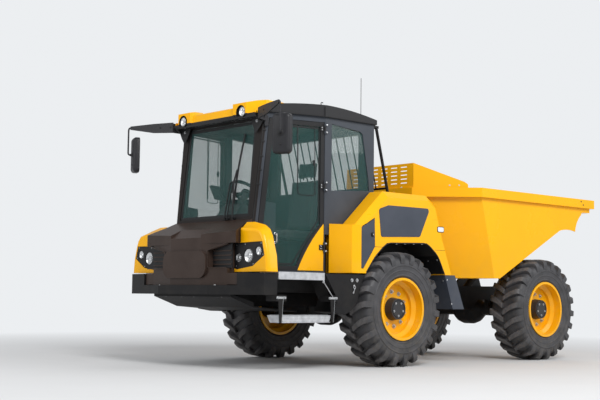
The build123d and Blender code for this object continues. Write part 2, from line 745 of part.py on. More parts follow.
# Doors: glazed leaf hinged on the rear post, with a painted panel in the lower rear corner
corner_reach = 300
corner_top = 1425
frame_w = 42
for label, side in [("left", 1), ("right", -1)]:
    with BuildPart() as leaf:
        with BuildSketch(door_plane(0)) as leaf_face:
            Polygon(door_outline(0))
            offset(amount=-frame_w, mode=Mode.SUBTRACT)
            with BuildLine():
                outer_arc = ThreePointArc((corner_reach + 30, door_low), (190, 1245), (door_rear, corner_top + 34))
                Line(outer_arc @ 1, (door_rear, door_low))
                Line((door_rear, door_low), outer_arc @ 0)
            make_face()
            with BuildLine():
                inner_arc = ThreePointArc((corner_reach, door_low), (165, 1222), (door_rear, corner_top))
                Line(inner_arc @ 1, (door_rear, door_low))
                Line((door_rear, door_low), inner_arc @ 0)
            make_face(mode=Mode.SUBTRACT)
        extrude(amount=door_t)
        for hinge_z in hinge_zs:
            add(hinge_half(hinge_z - knuckle_h / 2, hinge_z + knuckle_h / 2, 52))
    with BuildPart() as corner:
        with BuildSketch(door_plane(0)):
            with BuildLine():
                inner_arc = ThreePointArc((corner_reach, door_low), (165, 1222), (door_rear, corner_top))
                Line(inner_arc @ 1, (door_rear, door_low))
                Line((door_rear, door_low), inner_arc @ 0)
            make_face()
        extrude(amount=door_t)
    with BuildPart() as pane:
        with BuildSketch(door_plane(14)):
            Polygon(door_outline(-frame_w - fit_gap))
            with BuildLine():
                outer_arc = ThreePointArc((corner_reach + 31, door_low), (191, 1246), (door_rear, corner_top + 35))
                Line(outer_arc @ 1, (door_rear, door_low))
                Line((door_rear, door_low), outer_arc @ 0)
            make_face(mode=Mode.SUBTRACT)
        extrude(amount=glass_t)
    for part_of, name in [(leaf, "door_frame"), (corner, "door_panel"), (pane, "door_glass")]:
        finished = part_of.part if side == 1 else mirror(part_of.part, about=Plane.XZ)
        keep(finished, f"{name}_{label}")

# Cab floor: plate, side sills and the seat pedestal, on the rails
with BuildPart() as cab_floor:
    with BuildSketch(Plane.XY.offset(cab_floor_z - cab_floor_t)):
        Polygon(cab_plan(0, arch_half_w, cab_rear_ahead))
        Rectangle(nose_reach + tail_reach, 2 * sill_inner, mode=Mode.INTERSECT)
    extrude(amount=cab_floor_t)
    split(bisect_by=screen_plane, keep=Keep.BOTTOM)
    for side in (1, -1):
        with BuildSketch(side_plane(side * (sill_inner + 430) / 2 + (sill_inner - 430) / 2)):
            Polygon(stations([(780, 740), (1590, 740), (1590, cab_floor_z), (780, cab_floor_z)]))
        extrude(amount=sill_inner - 430)
    with BuildSketch(Plane.XY.offset(cab_floor_z)):
        with Locations((ahead(560), 0)):
            RectangleRounded(420, 460, 40)
    extrude(amount=330)
keep(cab_floor.part, "cab_floor")

with BuildPart() as seat:
    with BuildSketch(Plane.XY.offset(cab_floor_z + 330 + seat_gap)):
        with Locations((ahead(570), 0)):
            RectangleRounded(480, 500, 60)
    extrude(amount=130)
    with BuildSketch(Plane((ahead(330), 0, 1400), x_dir=(0, 1, 0), z_dir=(1, 0, 0.14))):
        with Locations((0, 270)):
            RectangleRounded(470, 600, 70)
        with Locations((0, 660)):
            RectangleRounded(280, 190, 60)
    extrude(amount=110)
keep(seat.part, "seat")

# Console with the steering column and wheel, standing on the floor under the screen
with BuildPart() as console:
    with BuildSketch(side_plane(150)):
        Polygon(stations([(1390, cab_floor_z), (1560, cab_floor_z), (1500, 1440), (1320, 1640), (1230, 1610),
                          (1330, 1400)]))
    extrude(amount=300)
    with BuildSketch(side_plane(-290)):
        Polygon(stations([(420, 1290), (900, 1290), (1010, 1560), (960, 1620), (700, 1480), (420, 1450)]))
    extrude(amount=150)
    with BuildSketch(side_plane(-330)):
        Polygon(stations([(460, cab_floor_z), (760, cab_floor_z), (760, 1290), (460, 1290)]))
    extrude(amount=70)
    column_top = Vector(ahead(1160), 0, 1745)
    column_dir = Vector(-0.6, 0, 0.8)
    with BuildSketch(Plane(column_top - column_dir * 190, z_dir=column_dir)):
        Circle(35)
    extrude(amount=210)
    with BuildSketch(Plane(column_top, x_dir=(0, 1, 0), z_dir=column_dir)):
        Circle(200)
        Circle(174, mode=Mode.SUBTRACT)
        Rectangle(360, 36)
        Circle(60)
    extrude(amount=24)
keep(console.part, "console")

# Nose: bumper with belly plate, cowl, corner fenders, lamp panels and lamps
with BuildPart() as bumper:
    with BuildSketch(Plane.XY.offset(bumper_low)):
        half = [(ahead(nose_reach), 400), (ahead(nose_reach - 137), body_half_w), (ahead(1660), body_half_w),
                (ahead(1660), 940), (ahead(nose_reach - 227), 900), (ahead(nose_reach - 157), 420)]
        Polygon(half + [(x, -y) for x, y in reversed(half)])
    extrude(amount=bumper_top - bumper_low)
    with BuildSketch(Plane.XY.offset(cowl_bottom)):
        Polygon((ahead(nose_reach + 43), -754), (ahead(nose_reach + 43), 754), (ahead(1700), 754),
                (ahead(1700), -754))
    extrude(amount=200, mode=Mode.SUBTRACT)
    with BuildSketch(side_plane(620)):
        Polygon(stations([(nose_reach - 107, bumper_low), (nose_reach - 137, bumper_low), (1560, 640),
                          (1560, 600), (1000, 560), (1000, 548), (1560, 588), (nose_reach - 107, 690)]))
    extrude(amount=1240)
    for side in (1, -1):
        with BuildSketch(Plane.XY.offset(cowl_bottom - 60)):
            with Locations((ahead(1690), side * rail_y)):
                Rectangle(260, 60)
        extrude(amount=60)
keep(bumper.part, "bumper")

cowl_back = screen_plane.offset(2)
nose_face = nose_reach - 32
vent_back = nose_reach - 117
panel_half = 245
panel_back = (1800, 1348)
panel_front = (nose_face, 1258)


def nose_plan(centre, corner, waist, foot):
    """Plan of the nose between its front face and the screen; half widths at the corner, waist and foot."""
    half = [(ahead(centre), panel_half), (ahead(nose_reach - 79), corner), (ahead(1700), waist),
            (ahead(1560), foot)]
    return half + [(x, -y) for x, y in reversed(half)]


def vent_outline(side):
    """Intake beside the nose's middle, its lip rising outward."""
    return [(side * 356, 964), (side * 640, 964), (side * 640, 1198), (side * 344, 1131)]


with BuildPart() as cowl:
    with BuildSketch(Plane.XY.offset(1200)):
        Polygon(nose_plan(nose_face, 722, 640, 612))
    extrude(amount=250)
    with BuildSketch(Plane.XY.offset(cowl_bottom)):
        Polygon(nose_plan(nose_face, 600, 596, 590))
    extrude(amount=402)
    split(bisect_by=Plane((ahead(1600), 0, 1440), z_dir=(0.46, 0, 1)), keep=Keep.BOTTOM)
    split(bisect_by=cowl_back, keep=Keep.TOP)
    with BuildSketch(side_plane(panel_half)):
        Polygon(stations([panel_back, panel_front, (nose_face + 60, panel_front[1]), (nose_face + 60, 1400)]))
    extrude(amount=2 * panel_half, mode=Mode.SUBTRACT)
    with BuildSketch(Plane.YZ.offset(ahead(nose_face - 60))):
        with Locations((0, 1000)):
            RectangleRounded(690, 264, 100)
    extrude(amount=60 + 20)
    for side in (1, -1):
        with BuildSketch(Plane.YZ.offset(ahead(vent_back))):
            Polygon(vent_outline(side))
        extrude(amount=100, mode=Mode.SUBTRACT)
    with BuildSketch(side_plane(500)):
        Polygon(stations([(1560, cowl_bottom - 1), (1800, cowl_bottom - 1), (1800, 900), (1560, 900)]))
    extrude(amount=1000, mode=Mode.SUBTRACT)
keep(cowl.part, "cowl")

lamp_panel = [(612, 1198), (1010, 1206), (1043, 1078), (880, 981), (640, 950), (612, 960)]
fender_face = [(612, bumper_top + seat_gap), (1118, bumper_top + seat_gap), (1118, 1180), (1092, 1290),
               (1040, 1350), (985, 1376), (775, 1390), (655, 1325), (612, 1260)]
fender_front = nose_reach - 157
with BuildPart() as corner_fenders:
    for side in (1, -1):
        with BuildSketch(Plane.YZ.offset(ahead(1657))):
            Polygon([(side * y, z) for y, z in fender_face])
        extrude(amount=fender_front - 1657)
    with BuildSketch(Plane.XY.offset(900)):
        Polygon((ahead(1650), -1118), (ahead(1760), -1118), (ahead(fender_front), -1070),
                (ahead(fender_front), 1070), (ahead(1760), 1118), (ahead(1650), 1118))
    extrude(amount=600, mode=Mode.INTERSECT)
    with BuildSketch(Plane.XY.offset(1200 - panel_gap)):
        Polygon(nose_plan(nose_face, 728, 644, 616))
    extrude(amount=300, mode=Mode.SUBTRACT)
    for side in (1, -1):
        with BuildSketch(Plane.YZ.offset(ahead(fender_front - 30))):
            Polygon([(side * y, z) for y, z in lamp_panel])
        extrude(amount=60, mode=Mode.SUBTRACT)
keep(corner_fenders.part, "corner_fenders")

lamps_at = [(807, 1078, 70), (952, 1119, 48), (662, 1061, 48)]
roof_lamp = (480, cab_top - 2)
roof_lamp_r = 52
with BuildPart() as nose_inserts:
    for side in (1, -1):
        with BuildSketch(Plane.YZ.offset(ahead(fender_front - 30 + seat_gap))):
            Polygon([(side * y, z) for y, z in lamp_panel])
            offset(amount=-fit_gap, mode=Mode.REPLACE)
            with Locations([(side * y, z) for y, z, r in lamps_at[1:]]):
                Circle(lamps_at[1][2], mode=Mode.SUBTRACT)
            with Locations((side * lamps_at[0][0], lamps_at[0][1])):
                Circle(lamps_at[0][2], mode=Mode.SUBTRACT)
        extrude(amount=24)
        with BuildSketch(Plane.YZ.offset(ahead(vent_back) + seat_gap)):
            Polygon(vent_outline(side))
            offset(amount=-fit_gap, mode=Mode.REPLACE)
        extrude(amount=12)
keep(nose_inserts.part, "nose_inserts")

with BuildPart() as lamps:
    for side in (1, -1):
        for lamp_y, lamp_z, lamp_r in lamps_at:
            with BuildSketch(Plane.YZ.offset(ahead(fender_front - 30 + seat_gap))):
                with Locations((side * lamp_y, lamp_z)):
                    Circle(lamp_r - fit_gap)
            extrude(amount=20)
        with BuildSketch(Plane.YZ.offset(ahead(visor_front + seat_gap))):
            with Locations((side * roof_lamp[0], roof_lamp[1])):
                Circle(roof_lamp_r)
        extrude(amount=22)
        with BuildSketch(side_plane(side * (body_half_w + 3) + 2.7)):
            with Locations((ahead(-651), 1431)):
                RectangleRounded(110, 62, 20)
        extrude(amount=5.4)
keep(lamps.part, "lamps")

# Roof visor: a bar over the screen, hooded lamp pods that run back onto the roof, and side ears
hood_front = visor_front + 30
hood_plan = [(1290, 716), (1500, 690), (hood_front, 552), (hood_front, 350), (1560, 310), (visor_back, 310),
             (1440, 400), (1290, 655)]
hood_side = [(1290, cab_top + 60), (1290, cab_top + 102), (1430, cab_top + 113), (1560, cab_top + 100),
             (hood_front, cab_top + 82), (hood_front, cab_top - 40), (1290, cab_top - 40)]

# Section of a hood across the machine: distance from the middle and height over the cab's top
hood_section = [(310, -64), (310, 0), (338, 72), (410, 108), (620, 114), (690, 108), (722, 88), (722, -64)]
recess_at = (470, cab_top - 8)
recess_r = 70
with BuildPart() as visor:
    with BuildSketch(side_plane(655)):
        Polygon(stations([(visor_back, cab_top - 64), (1596, cab_top - 60), (1622, cab_top - 26),
                          (visor_back, cab_top - 26)]))
    extrude(amount=2 * 655)
    with BuildSketch(side_plane(352)):
        Polygon(stations([(visor_back, cab_top - 30), (1622, cab_top - 26), (1614, cab_top + 44),
                          (1594, cab_top + 56), (visor_back, cab_top + 60)]))
    extrude(amount=2 * 352)
    for side in (1, -1):
        with BuildPart(mode=Mode.PRIVATE) as hood:
            with BuildSketch(Plane.XY.offset(cab_top - 64)):
                Polygon([(ahead(x), side * y) for x, y in hood_plan])
            extrude(amount=200)
            with BuildSketch(side_plane(side * 516 + 206)):
                Polygon(stations(hood_side))
            extrude(amount=2 * 206, mode=Mode.INTERSECT)
            with BuildSketch(Plane.YZ.offset(ahead(1280))):
                foot_in, flank_in, bend_in, top_in, top_out, bend_out, flank_out, foot_out = [
                    (side * y, cab_top + up) for y, up in hood_section]
                with BuildLine():
                    Line(foot_in, flank_in)
                    ThreePointArc(flank_in, bend_in, top_in)
                    Line(top_in, top_out)
                    ThreePointArc(top_out, bend_out, flank_out)
                    Polyline(flank_out, foot_out, foot_in)
                make_face()
            extrude(amount=400, mode=Mode.INTERSECT)
            with BuildSketch(Plane.YZ.offset(ahead(visor_front))):
                with Locations((side * recess_at[0], recess_at[1])):
                    Circle(recess_r)
            extrude(amount=60, mode=Mode.SUBTRACT)
        add(hood.part)
        with BuildSketch(side_plane(side * 652 + 6)):
            Polygon(stations([(1500, cab_top - 100), (1540, cab_top - 100), (1604, cab_top - 50),
                              (1596, cab_top + 8), (1500, cab_top + 8)]))
        extrude(amount=12)
    add(roof_body(cab_top - 40, seat_gap), mode=Mode.SUBTRACT)
    with BuildSketch(Plane.YZ.offset(ahead(visor_front))):
        with Locations(recess_at, (-recess_at[0], recess_at[1])):
            Circle(recess_r)
    extrude(amount=60, mode=Mode.SUBTRACT)
keep(visor.part, "visor")

# Fenders: boxes over the front wheels with a cut arch, joined across the engine by its cover
arch_points = [(482, 940), (348, 1119), (182, 1254), (-435, 1275), (-608, 1151), (-718, 948)]
deck_points = [(-896, 948), (-795, 1201), (-717, 1399), (-620, 1690), (-480, deck_z), (190, deck_z),
               (600, 1415), (775, 1430), (775, 940)]
with BuildPart() as fenders:
    with BuildSketch(side_plane(body_half_w)):
        Polygon(stations(deck_points + arch_points))
    extrude(amount=body_half_w - fender_inner)
    crest = fenders.edges().filter_by(lambda e: e.center().Y > body_half_w - 1 and e.center().Z > 1480)
    chamfer(crest, length=62)
    with BuildSketch(Plane.XY.offset(900)):
        Polygon((ahead(770), fender_inner - 1), (ahead(652), 1036), (ahead(567), body_half_w),
                (ahead(-1000), body_half_w), (ahead(-1000), fender_inner - 1))
    extrude(amount=1000, mode=Mode.INTERSECT)
    with BuildSketch(side_plane(fender_inner)):
        Polygon(stations([(-896, 948), (-795, 1201), (-717, 1399), (-620, 1690), (-480, deck_z),
                          (cab_rear_ahead - panel_gap, deck_z),
                          (cab_rear_ahead - panel_gap, arch_roof_z - panel_gap),
                          (690, arch_roof_z - panel_gap), (690, 940)] + arch_points))
    extrude(amount=fender_inner - arch_half_w - panel_gap)
    with BuildSketch(side_plane(arch_half_w + panel_gap)):
        Polygon(stations([(-440, 948), (-440, deck_z), (cab_rear_ahead - panel_gap, deck_z),
                          (cab_rear_ahead - panel_gap, 948)]))
    extrude(amount=arch_half_w + panel_gap - fender_tail_inner)
    with BuildSketch(side_plane(body_half_w)):
        Polygon(stations([(552, 1400), (362, 1505), (355, 1210), (520, 985), (552, 985)]))
    extrude(amount=70, mode=Mode.SUBTRACT)
    mirror(about=Plane.XZ)
keep(fenders.part, "fenders")

with BuildPart() as hatch:
    with BuildSketch(side_plane(body_half_w + 2)):
        Polygon(stations([(552 - seat_gap, 1393), (367, 1495), (360, 1212), (523, 991), (552 - seat_gap, 991)]))
    extrude(amount=20)
keep(hatch.part, "hatch_left")
keep(mirror(hatch.part, about=Plane.XZ), "hatch_right")

with BuildPart() as fender_panels:
    with BuildSketch(side_plane(body_half_w + 4)) as panel_face:
        Polygon(stations([(304, 1595), (165, 1640), (-477, 1643), (-319, 1338), (272, 1312)]))
        fillet(panel_face.vertices(), radius=30)
    extrude(amount=4 - seat_gap)
    with BuildSketch(side_plane(body_half_w - 5)):
        Polygon(stations([(-729, 948 - seat_gap), (-896, 948 - seat_gap), (-1049, 584), (-862, 584)]))
    extrude(amount=330)
    mirror(about=Plane.XZ)
keep(fender_panels.part, "fender_panels")

with BuildPart() as engine_cover:
    with BuildSketch(side_plane(fender_tail_inner - seat_gap)):
        Polygon(stations([(-440, rail_top + 60), (-440, deck_z - 20), (cab_rear_ahead - panel_gap, deck_z - 20),
                          (cab_rear_ahead - panel_gap, rail_top + 60)]))
    extrude(amount=2 * (fender_tail_inner - seat_gap))
    with BuildSketch(side_plane(fender_tail_inner - 12)):
        Polygon(stations([(-428, rail_top), (-428, deck_z - 32), (cab_rear_ahead - 20, deck_z - 32),
                          (cab_rear_ahead - 20, rail_top)]))
    extrude(amount=2 * (fender_tail_inner - 12), mode=Mode.SUBTRACT)
keep(engine_cover.part, "engine_cover")

with BuildPart() as engine:
    with BuildSketch(Plane.XY.offset(rail_top)):
        with Locations((ahead(-170), 0)):
            Rectangle(460, 2 * rail_y)
    extrude(amount=640)
keep(engine.part, "engine_block")

# Skirts: black lower boxes beside the cab, arch liners, and the straps that carry the left step
liner_t = 6
arch_foot = 948
with BuildPart() as skirts:
    with BuildSketch(side_plane(body_half_w)):
        Polygon(stations([(1050, sill_top - 4), (1000, 860), (880, 680), (945, 556), (770, 531), (690, 570),
                          (612, 640), (542, 850), (492, sill_top - 4)]))
    extrude(amount=body_half_w - sill_inner - seat_gap)
    with BuildSketch(side_plane(body_half_w - 4)):
        Polygon(stations(arch_points))
        offset(amount=-seat_gap, kind=Kind.INTERSECTION, mode=Mode.REPLACE)
        with BuildSketch(mode=Mode.PRIVATE) as hollow:
            Polygon(stations(arch_points))
            offset(amount=-seat_gap - liner_t, kind=Kind.INTERSECTION, mode=Mode.REPLACE)
        add(hollow.sketch, mode=Mode.SUBTRACT)
        with Locations((ahead(-118), arch_foot)):
            Rectangle(1400, 20, mode=Mode.SUBTRACT)
    extrude(amount=body_half_w - 4 - arch_half_w - panel_gap - seat_gap)
    with BuildSketch(side_plane(arch_half_w + panel_gap + seat_gap + 4)):
        Polygon(stations(arch_points))
        offset(amount=-seat_gap, kind=Kind.INTERSECTION, mode=Mode.REPLACE)
        with Locations((ahead(-118), arch_foot)):
            Rectangle(1400, 20, mode=Mode.SUBTRACT)
    extrude(amount=4)
    mirror(about=Plane.XZ)
    with BuildSketch(Plane.XY.offset(655)):
        with Locations((ahead(945), 1030), (ahead(1635), 1030)):
            Rectangle(120, 152)
    extrude(amount=bumper_low - 655)
    for station in (975, 1640):
        with BuildSketch(side_plane(1106)):
            Polygon(stations([(station - 30, 715), (station + 30, 715), (station + 12, 455),
                              (station - 12, 455)]))
        extrude(amount=12)
keep(skirts.part, "skirts")

# Treads: the bright sill under each door and the grating of the left step
with BuildPart() as treads:
    with BuildSketch(side_plane(body_half_w + 2)):
        Polygon(stations([(1055, 859), (1645, 859), (1645, sill_top), (1055, sill_top)]))
    extrude(amount=20)
    with BuildSketch(Plane.XY.offset(sill_top - 20)):
        with Locations((ahead(1350), (sill_inner + seat_gap + body_half_w) / 2)):
            Rectangle(590, body_half_w - sill_inner - seat_gap)
    extrude(amount=20)
    mirror(about=Plane.XZ)
    with BuildSketch(side_plane(1094 - seat_gap)):
        Polygon(stations([(980, 525), (1636, 525), (1600, 455), (1020, 455)]))
    extrude(amount=190)
keep(treads.part, "treads")

# Mirrors on cranked arms from the screen posts
with BuildPart() as mirrors:
    mx, my, mz = mirror_at
    dx, dy, dz = mirror_size
    with BuildSketch(Plane.YZ.offset(ahead(mx - dx / 2))):
        with Locations((my, mz)):
            RectangleRounded(dy, dz, 44)
    extrude(amount=dx)
    fillet(mirrors.edges().group_by(Axis.X)[-1], radius=26)
    with BuildSketch(door_plane(-seat_gap)):
        with Locations((670, cab_top - 100)):
            Rectangle(44, 90)
    extrude(amount=-30)
    root = door_plane(0).from_local_coords((670, cab_top - 100, -24))
    elbow = Vector(ahead(1600), 740, cab_top - 60)
    with BuildLine():
        FilletPolyline(root, elbow, (ahead(mx), my - 40, cab_top - 60), (ahead(mx), my, mz + dz / 2 - 20),
                       radius=30)
    with BuildSketch(Plane(root, z_dir=elbow - root)):
        Circle(14)
    sweep()
    mirror(about=Plane.XZ)
keep(mirrors.part, "mirrors")

# Rear guard: sloping tubes from the roof to the deck with upright bars over the rear pane
with BuildPart() as rear_guard:
    top = Vector(ahead(cab_rear_ahead - 62), 0, cab_top - 20)
    foot = Vector(ahead(-130), 0, deck_z)
    slope_dir = (foot - top).normalized()
    for bar_y, bar_r in [(790, tube_r)] + [(57 + 115 * i, 7) for i in range(6)]:
        with BuildSketch(Plane(top + Vector(0, bar_y, 0), z_dir=slope_dir)):
            Circle(bar_r)
        extrude(amount=(foot - top).length + (20 if bar_r > 10 else -60))
    for level in (top, foot - slope_dir * 70):
        with BuildSketch(side_plane(790)):
            with Locations((level.X, level.Z)):
                Circle(12)
        extrude(amount=790)
    with BuildSketch(side_plane(790 + tube_r)):
        with Locations((top.X + 20, cab_top - 16)):
            Rectangle(84, 26)
    extrude(amount=2 * tube_r)
    split(bisect_by=Plane.XY.offset(deck_z + seat_gap), keep=Keep.TOP)
    mirror(about=Plane.XZ)
keep(rear_guard.part, "rear_guard")

# Towing: clevis behind the rear frame and an eye plate under the nose
with BuildPart() as tow_clevis:
    for level in (720, 800):
        with BuildSketch(Plane.XY.offset(level)):
            with Locations((ahead(-rear_rail_end - 30), 0)):
                Rectangle(60, 120)
            with Locations((ahead(-rear_rail_end - 60), 0)):
                Circle(60)
                Circle(16, mode=Mode.SUBTRACT)
        extrude(amount=22)
    with BuildSketch(Plane.XY.offset(720)):
        with Locations((ahead(-rear_rail_end - 8), 0)):
            Rectangle(16, 120)
    extrude(amount=102)
keep(tow_clevis.part, "tow_clevis")
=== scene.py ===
"""Looks of the site dumper: camera, light, finishes and the small pieces on top of its solids."""

import math

import bmesh
import bpy
from mathutils import Matrix, Vector


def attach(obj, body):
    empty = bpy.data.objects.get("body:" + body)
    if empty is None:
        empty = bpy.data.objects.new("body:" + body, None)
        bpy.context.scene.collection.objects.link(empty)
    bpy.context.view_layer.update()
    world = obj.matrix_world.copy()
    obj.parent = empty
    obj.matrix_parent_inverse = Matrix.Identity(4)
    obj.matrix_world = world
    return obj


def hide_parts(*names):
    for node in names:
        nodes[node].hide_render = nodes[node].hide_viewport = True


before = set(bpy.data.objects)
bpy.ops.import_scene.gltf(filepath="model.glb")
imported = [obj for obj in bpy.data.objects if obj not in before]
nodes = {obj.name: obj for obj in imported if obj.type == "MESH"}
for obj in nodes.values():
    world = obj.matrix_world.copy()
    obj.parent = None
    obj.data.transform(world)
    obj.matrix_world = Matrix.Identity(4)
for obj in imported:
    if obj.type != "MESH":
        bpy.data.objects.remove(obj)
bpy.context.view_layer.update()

# Places along the machine, in metres
FRONT_AXLE = 0.7915
REAR_AXLE = FRONT_AXLE - 2.465
AXLE_Z = 0.585
WHEEL_Y = 0.94
TYRE_R = 0.585
HUB_CAP_R = 0.1185
SIDES = {"left": 1, "right": -1}
UP = Vector((0, 0, 1))
FORWARD = Vector((1, 0, 0))


def ahead(distance):
    """X of a station measured forward from the front axle."""
    return FRONT_AXLE + distance


def at(distance, across, height):
    """Point so far ahead of the front axle, across from the middle and above the ground."""
    return Vector((ahead(distance), across, height))


def in_scene(name, data):
    """New object in the scene."""
    thing = bpy.data.objects.new(name, data)
    bpy.context.scene.collection.objects.link(thing)
    return thing


# Camera and lamps
CAMERA_AT = (8.492, 8.849, 0.702)
CAMERA_LENS = 66.979
LAMPS = [
    # name, place, target, width and height, power
    ("key_lamp", (5.0, 9.0, 8.5), (0, 0, 1), (4, 4), 1050),
    ("side_lamp", (-6.0, 9.0, 6.0), (-0.5, 0, 1), (7, 5), 380),
    ("nose_lamp", (10.0, -2.0, 5.0), (0.5, 0, 1), (5, 5), 200),
    ("back_lamp", (-8.0, -6.0, 7.0), (0, 0, 1), (6, 6), 220),
]


def add_camera():
    """Camera where the photographer stood."""
    heading = math.radians(-132.40806)
    pitch = math.radians(4.938)
    roll = math.radians(0.67141)
    flat = math.cos(pitch)
    forward = Vector((math.cos(heading) * flat, math.sin(heading) * flat, math.sin(pitch)))
    right = forward.cross(UP).normalized()
    up = right.cross(forward)
    side = right * math.cos(roll) + up * math.sin(roll)
    top = up * math.cos(roll) - right * math.sin(roll)
    data = bpy.data.cameras.new("camera")
    data.sensor_width = 36
    data.lens = CAMERA_LENS
    camera = in_scene("camera", data)
    camera.matrix_world = Matrix.Translation(at(*CAMERA_AT)) @ Matrix((side, top, -forward)).transposed().to_4x4()
    bpy.context.scene.camera = camera


def add_lamp(name, place, target, size, power):
    """One soft rectangular lamp."""
    data = bpy.data.lights.new(name, "AREA")
    data.shape = "RECTANGLE"
    data.size, data.size_y = size
    data.energy = power
    lamp = in_scene(name, data)
    lamp.location = place
    lamp.rotation_euler = (Vector(target) - Vector(place)).to_track_quat("-Z", "Y").to_euler()


add_camera()
bpy.context.scene.view_settings.view_transform = "Standard"
for lamp in LAMPS:
    add_lamp(*lamp)


# Shader expressions
def operator(operation, swapped=False):
    """Method of Value that adds one Math node."""
    def method(self, other):
        return self.math(operation, *((other, self) if swapped else (self, other)))
    return method


class Value:
    """One shader value; arithmetic on it adds Math nodes."""

    def __init__(self, paint, socket):
        self.paint = paint
        self.socket = socket

    __add__, __radd__ = operator("ADD"), operator("ADD", True)
    __sub__, __rsub__ = operator("SUBTRACT"), operator("SUBTRACT", True)
    __mul__, __rmul__ = operator("MULTIPLY"), operator("MULTIPLY", True)
    __truediv__, __pow__ = operator("DIVIDE"), operator("POWER")
    __gt__, __lt__ = operator("GREATER_THAN"), operator("LESS_THAN")

    def math(self, operation, *values):
        return self.paint.add("ShaderNodeMath", {"operation": operation}, values)

    def clamped(self):
        return self.math("MINIMUM", self.math("MAXIMUM", self, 0.0), 1.0)

    def ramp(self, low, high):
        """0 below low, 1 above high, straight between them."""
        return ((self - low) / (high - low)).clamped()


def band(value, middle, half):
    """1 within half a width of a value."""
    return (value > middle - half) * (value < middle + half)


def distance(one, other):
    """Length of two values at right angles."""
    return (one * one + other * other) ** 0.5


class Paint:
    """A material under construction."""

    def __init__(self, name):
        self.material = bpy.data.materials.new(name)
        self.material.use_nodes = True
        self.tree = self.material.node_tree
        self.shader = self.tree.nodes["Principled BSDF"]
        self.place = self.add("ShaderNodeTexCoord", {}, {}, "Object")

    def add(self, kind, settings, values, output=0):
        """A node of that kind, its settings first and then its sockets; gives one of its outputs."""
        node = self.tree.nodes.new(kind)
        for key, value in settings.items():
            setattr(node, key, value)
        for key, value in values.items() if isinstance(values, dict) else enumerate(values):
            self.feed(node.inputs[key], value)
        return Value(self, node.outputs[output])

    def feed(self, socket, value):
        """Links a shader value to a socket, or sets a constant on it."""
        if isinstance(value, Value):
            self.tree.links.new(value.socket, socket)
        else:
            socket.default_value = value

    def set(self, **values):
        """Sockets of the surface's own shader; an underscore stands for a space."""
        for key, value in values.items():
            self.feed(self.shader.inputs[key.replace("_", " ")], value)

    def axis(self, letter):
        return self.add("ShaderNodeSeparateXYZ", {}, [self.place], "XYZ".index(letter))

    def noise(self, scale, detail, vector=None):
        return self.add("ShaderNodeTexNoise", {},
                        {"Vector": vector or self.place, "Scale": scale, "Detail": detail, "Roughness": 0.55})

    def cells(self, scale, randomness=1.0):
        return self.add("ShaderNodeTexVoronoi", {},
                        {"Vector": self.place, "Scale": scale, "Randomness": randomness}, "Distance")

    def mix(self, share, low, high):
        """Colour between low and high."""
        return self.add("ShaderNodeMix", {"data_type": "RGBA"}, {0: share, 6: low, 7: high}, 2)

    def dust(self, low, high, grain, start, end):
        """Share of dust: patches of a grain, fading out between two heights."""
        return (1 - self.axis("Z").ramp(low, high)) * self.noise(*grain).ramp(start, end)

    def wheel_radius(self, axle_x):
        return distance(self.axis("X") - axle_x, self.axis("Z") - AXLE_Z)

    def bump(self, height, strength, depth):
        """Fine relief; the last step of a material, which it gives."""
        values = {"Strength": strength, "Distance": depth, "Height": height}
        self.set(Normal=self.add("ShaderNodeBump", {}, values, "Normal"))
        return self.material


def rgb(red, green, blue):
    return (red, green, blue, 1.0)


# Materials
AMBER = rgb(0.90, 0.435, 0.0015)
AMBER_DEEP = rgb(0.82, 0.375, 0.001)
DUST = rgb(0.30, 0.26, 0.20)

# Windscreen: station of its face at its foot, the foot's height and how far it leans back per metre
SCREEN_AHEAD = 1.592
SCREEN_FOOT = 1.438
SCREEN_LEAN = 0.10


def gloss_paint(name, marks=None):
    """Sprayed amber enamel: faint orange peel, slight clouding, dust low down and dark marks where asked."""
    paint = Paint(name)
    clouds = paint.noise(2.2, 4.0)
    film = paint.dust(0.3, 1.5, (9.0, 5.0), 0.45, 0.8) * 0.15
    body = paint.mix(film, paint.mix(clouds.ramp(0.35, 0.75) * 0.5, AMBER, AMBER_DEEP), DUST)
    if marks:
        body = paint.mix(marks(paint), body, rgb(0.016, 0.016, 0.017))
    paint.set(Base_Color=body, Roughness=0.24 + clouds * 0.08 + film * 0.5,
              Specular_IOR_Level=0.2, Coat_Weight=0.12, Coat_Roughness=0.08)
    return paint.bump(paint.noise(420.0, 1.0) * 0.6 + paint.noise(60.0, 1.0), 0.10, 0.002)


def satin_paint(name, color, deep, rough, dusty, marks=None):
    """Powder-coated steel: fine pebble, a little dust and black areas where asked."""
    paint = Paint(name)
    clouds = paint.noise(3.0, 4.0)
    body = paint.mix(clouds.ramp(0.35, 0.7), color, deep)
    if marks:
        body = paint.mix(marks(paint), body, rgb(0.014, 0.011, 0.010))
    film = paint.dust(0.2, 1.3, (7.0, 6.0), 0.45, 0.85) * dusty
    paint.set(Base_Color=paint.mix(film, body, DUST), Roughness=rough + clouds * 0.12 + film * 0.3,
              Specular_IOR_Level=0.2)
    return paint.bump(paint.noise(900.0, 2.0), 0.18, 0.001)


def moulded(name, color, deep, rough, grain=650.0):
    """Moulded plastic with a leather-like grain."""
    paint = Paint(name)
    clouds = paint.noise(5.0, 3.0)
    paint.set(Base_Color=paint.mix(clouds, color, deep), Roughness=rough + clouds * 0.1, Specular_IOR_Level=0.3)
    return paint.bump(paint.cells(grain), 0.25, 0.0008)


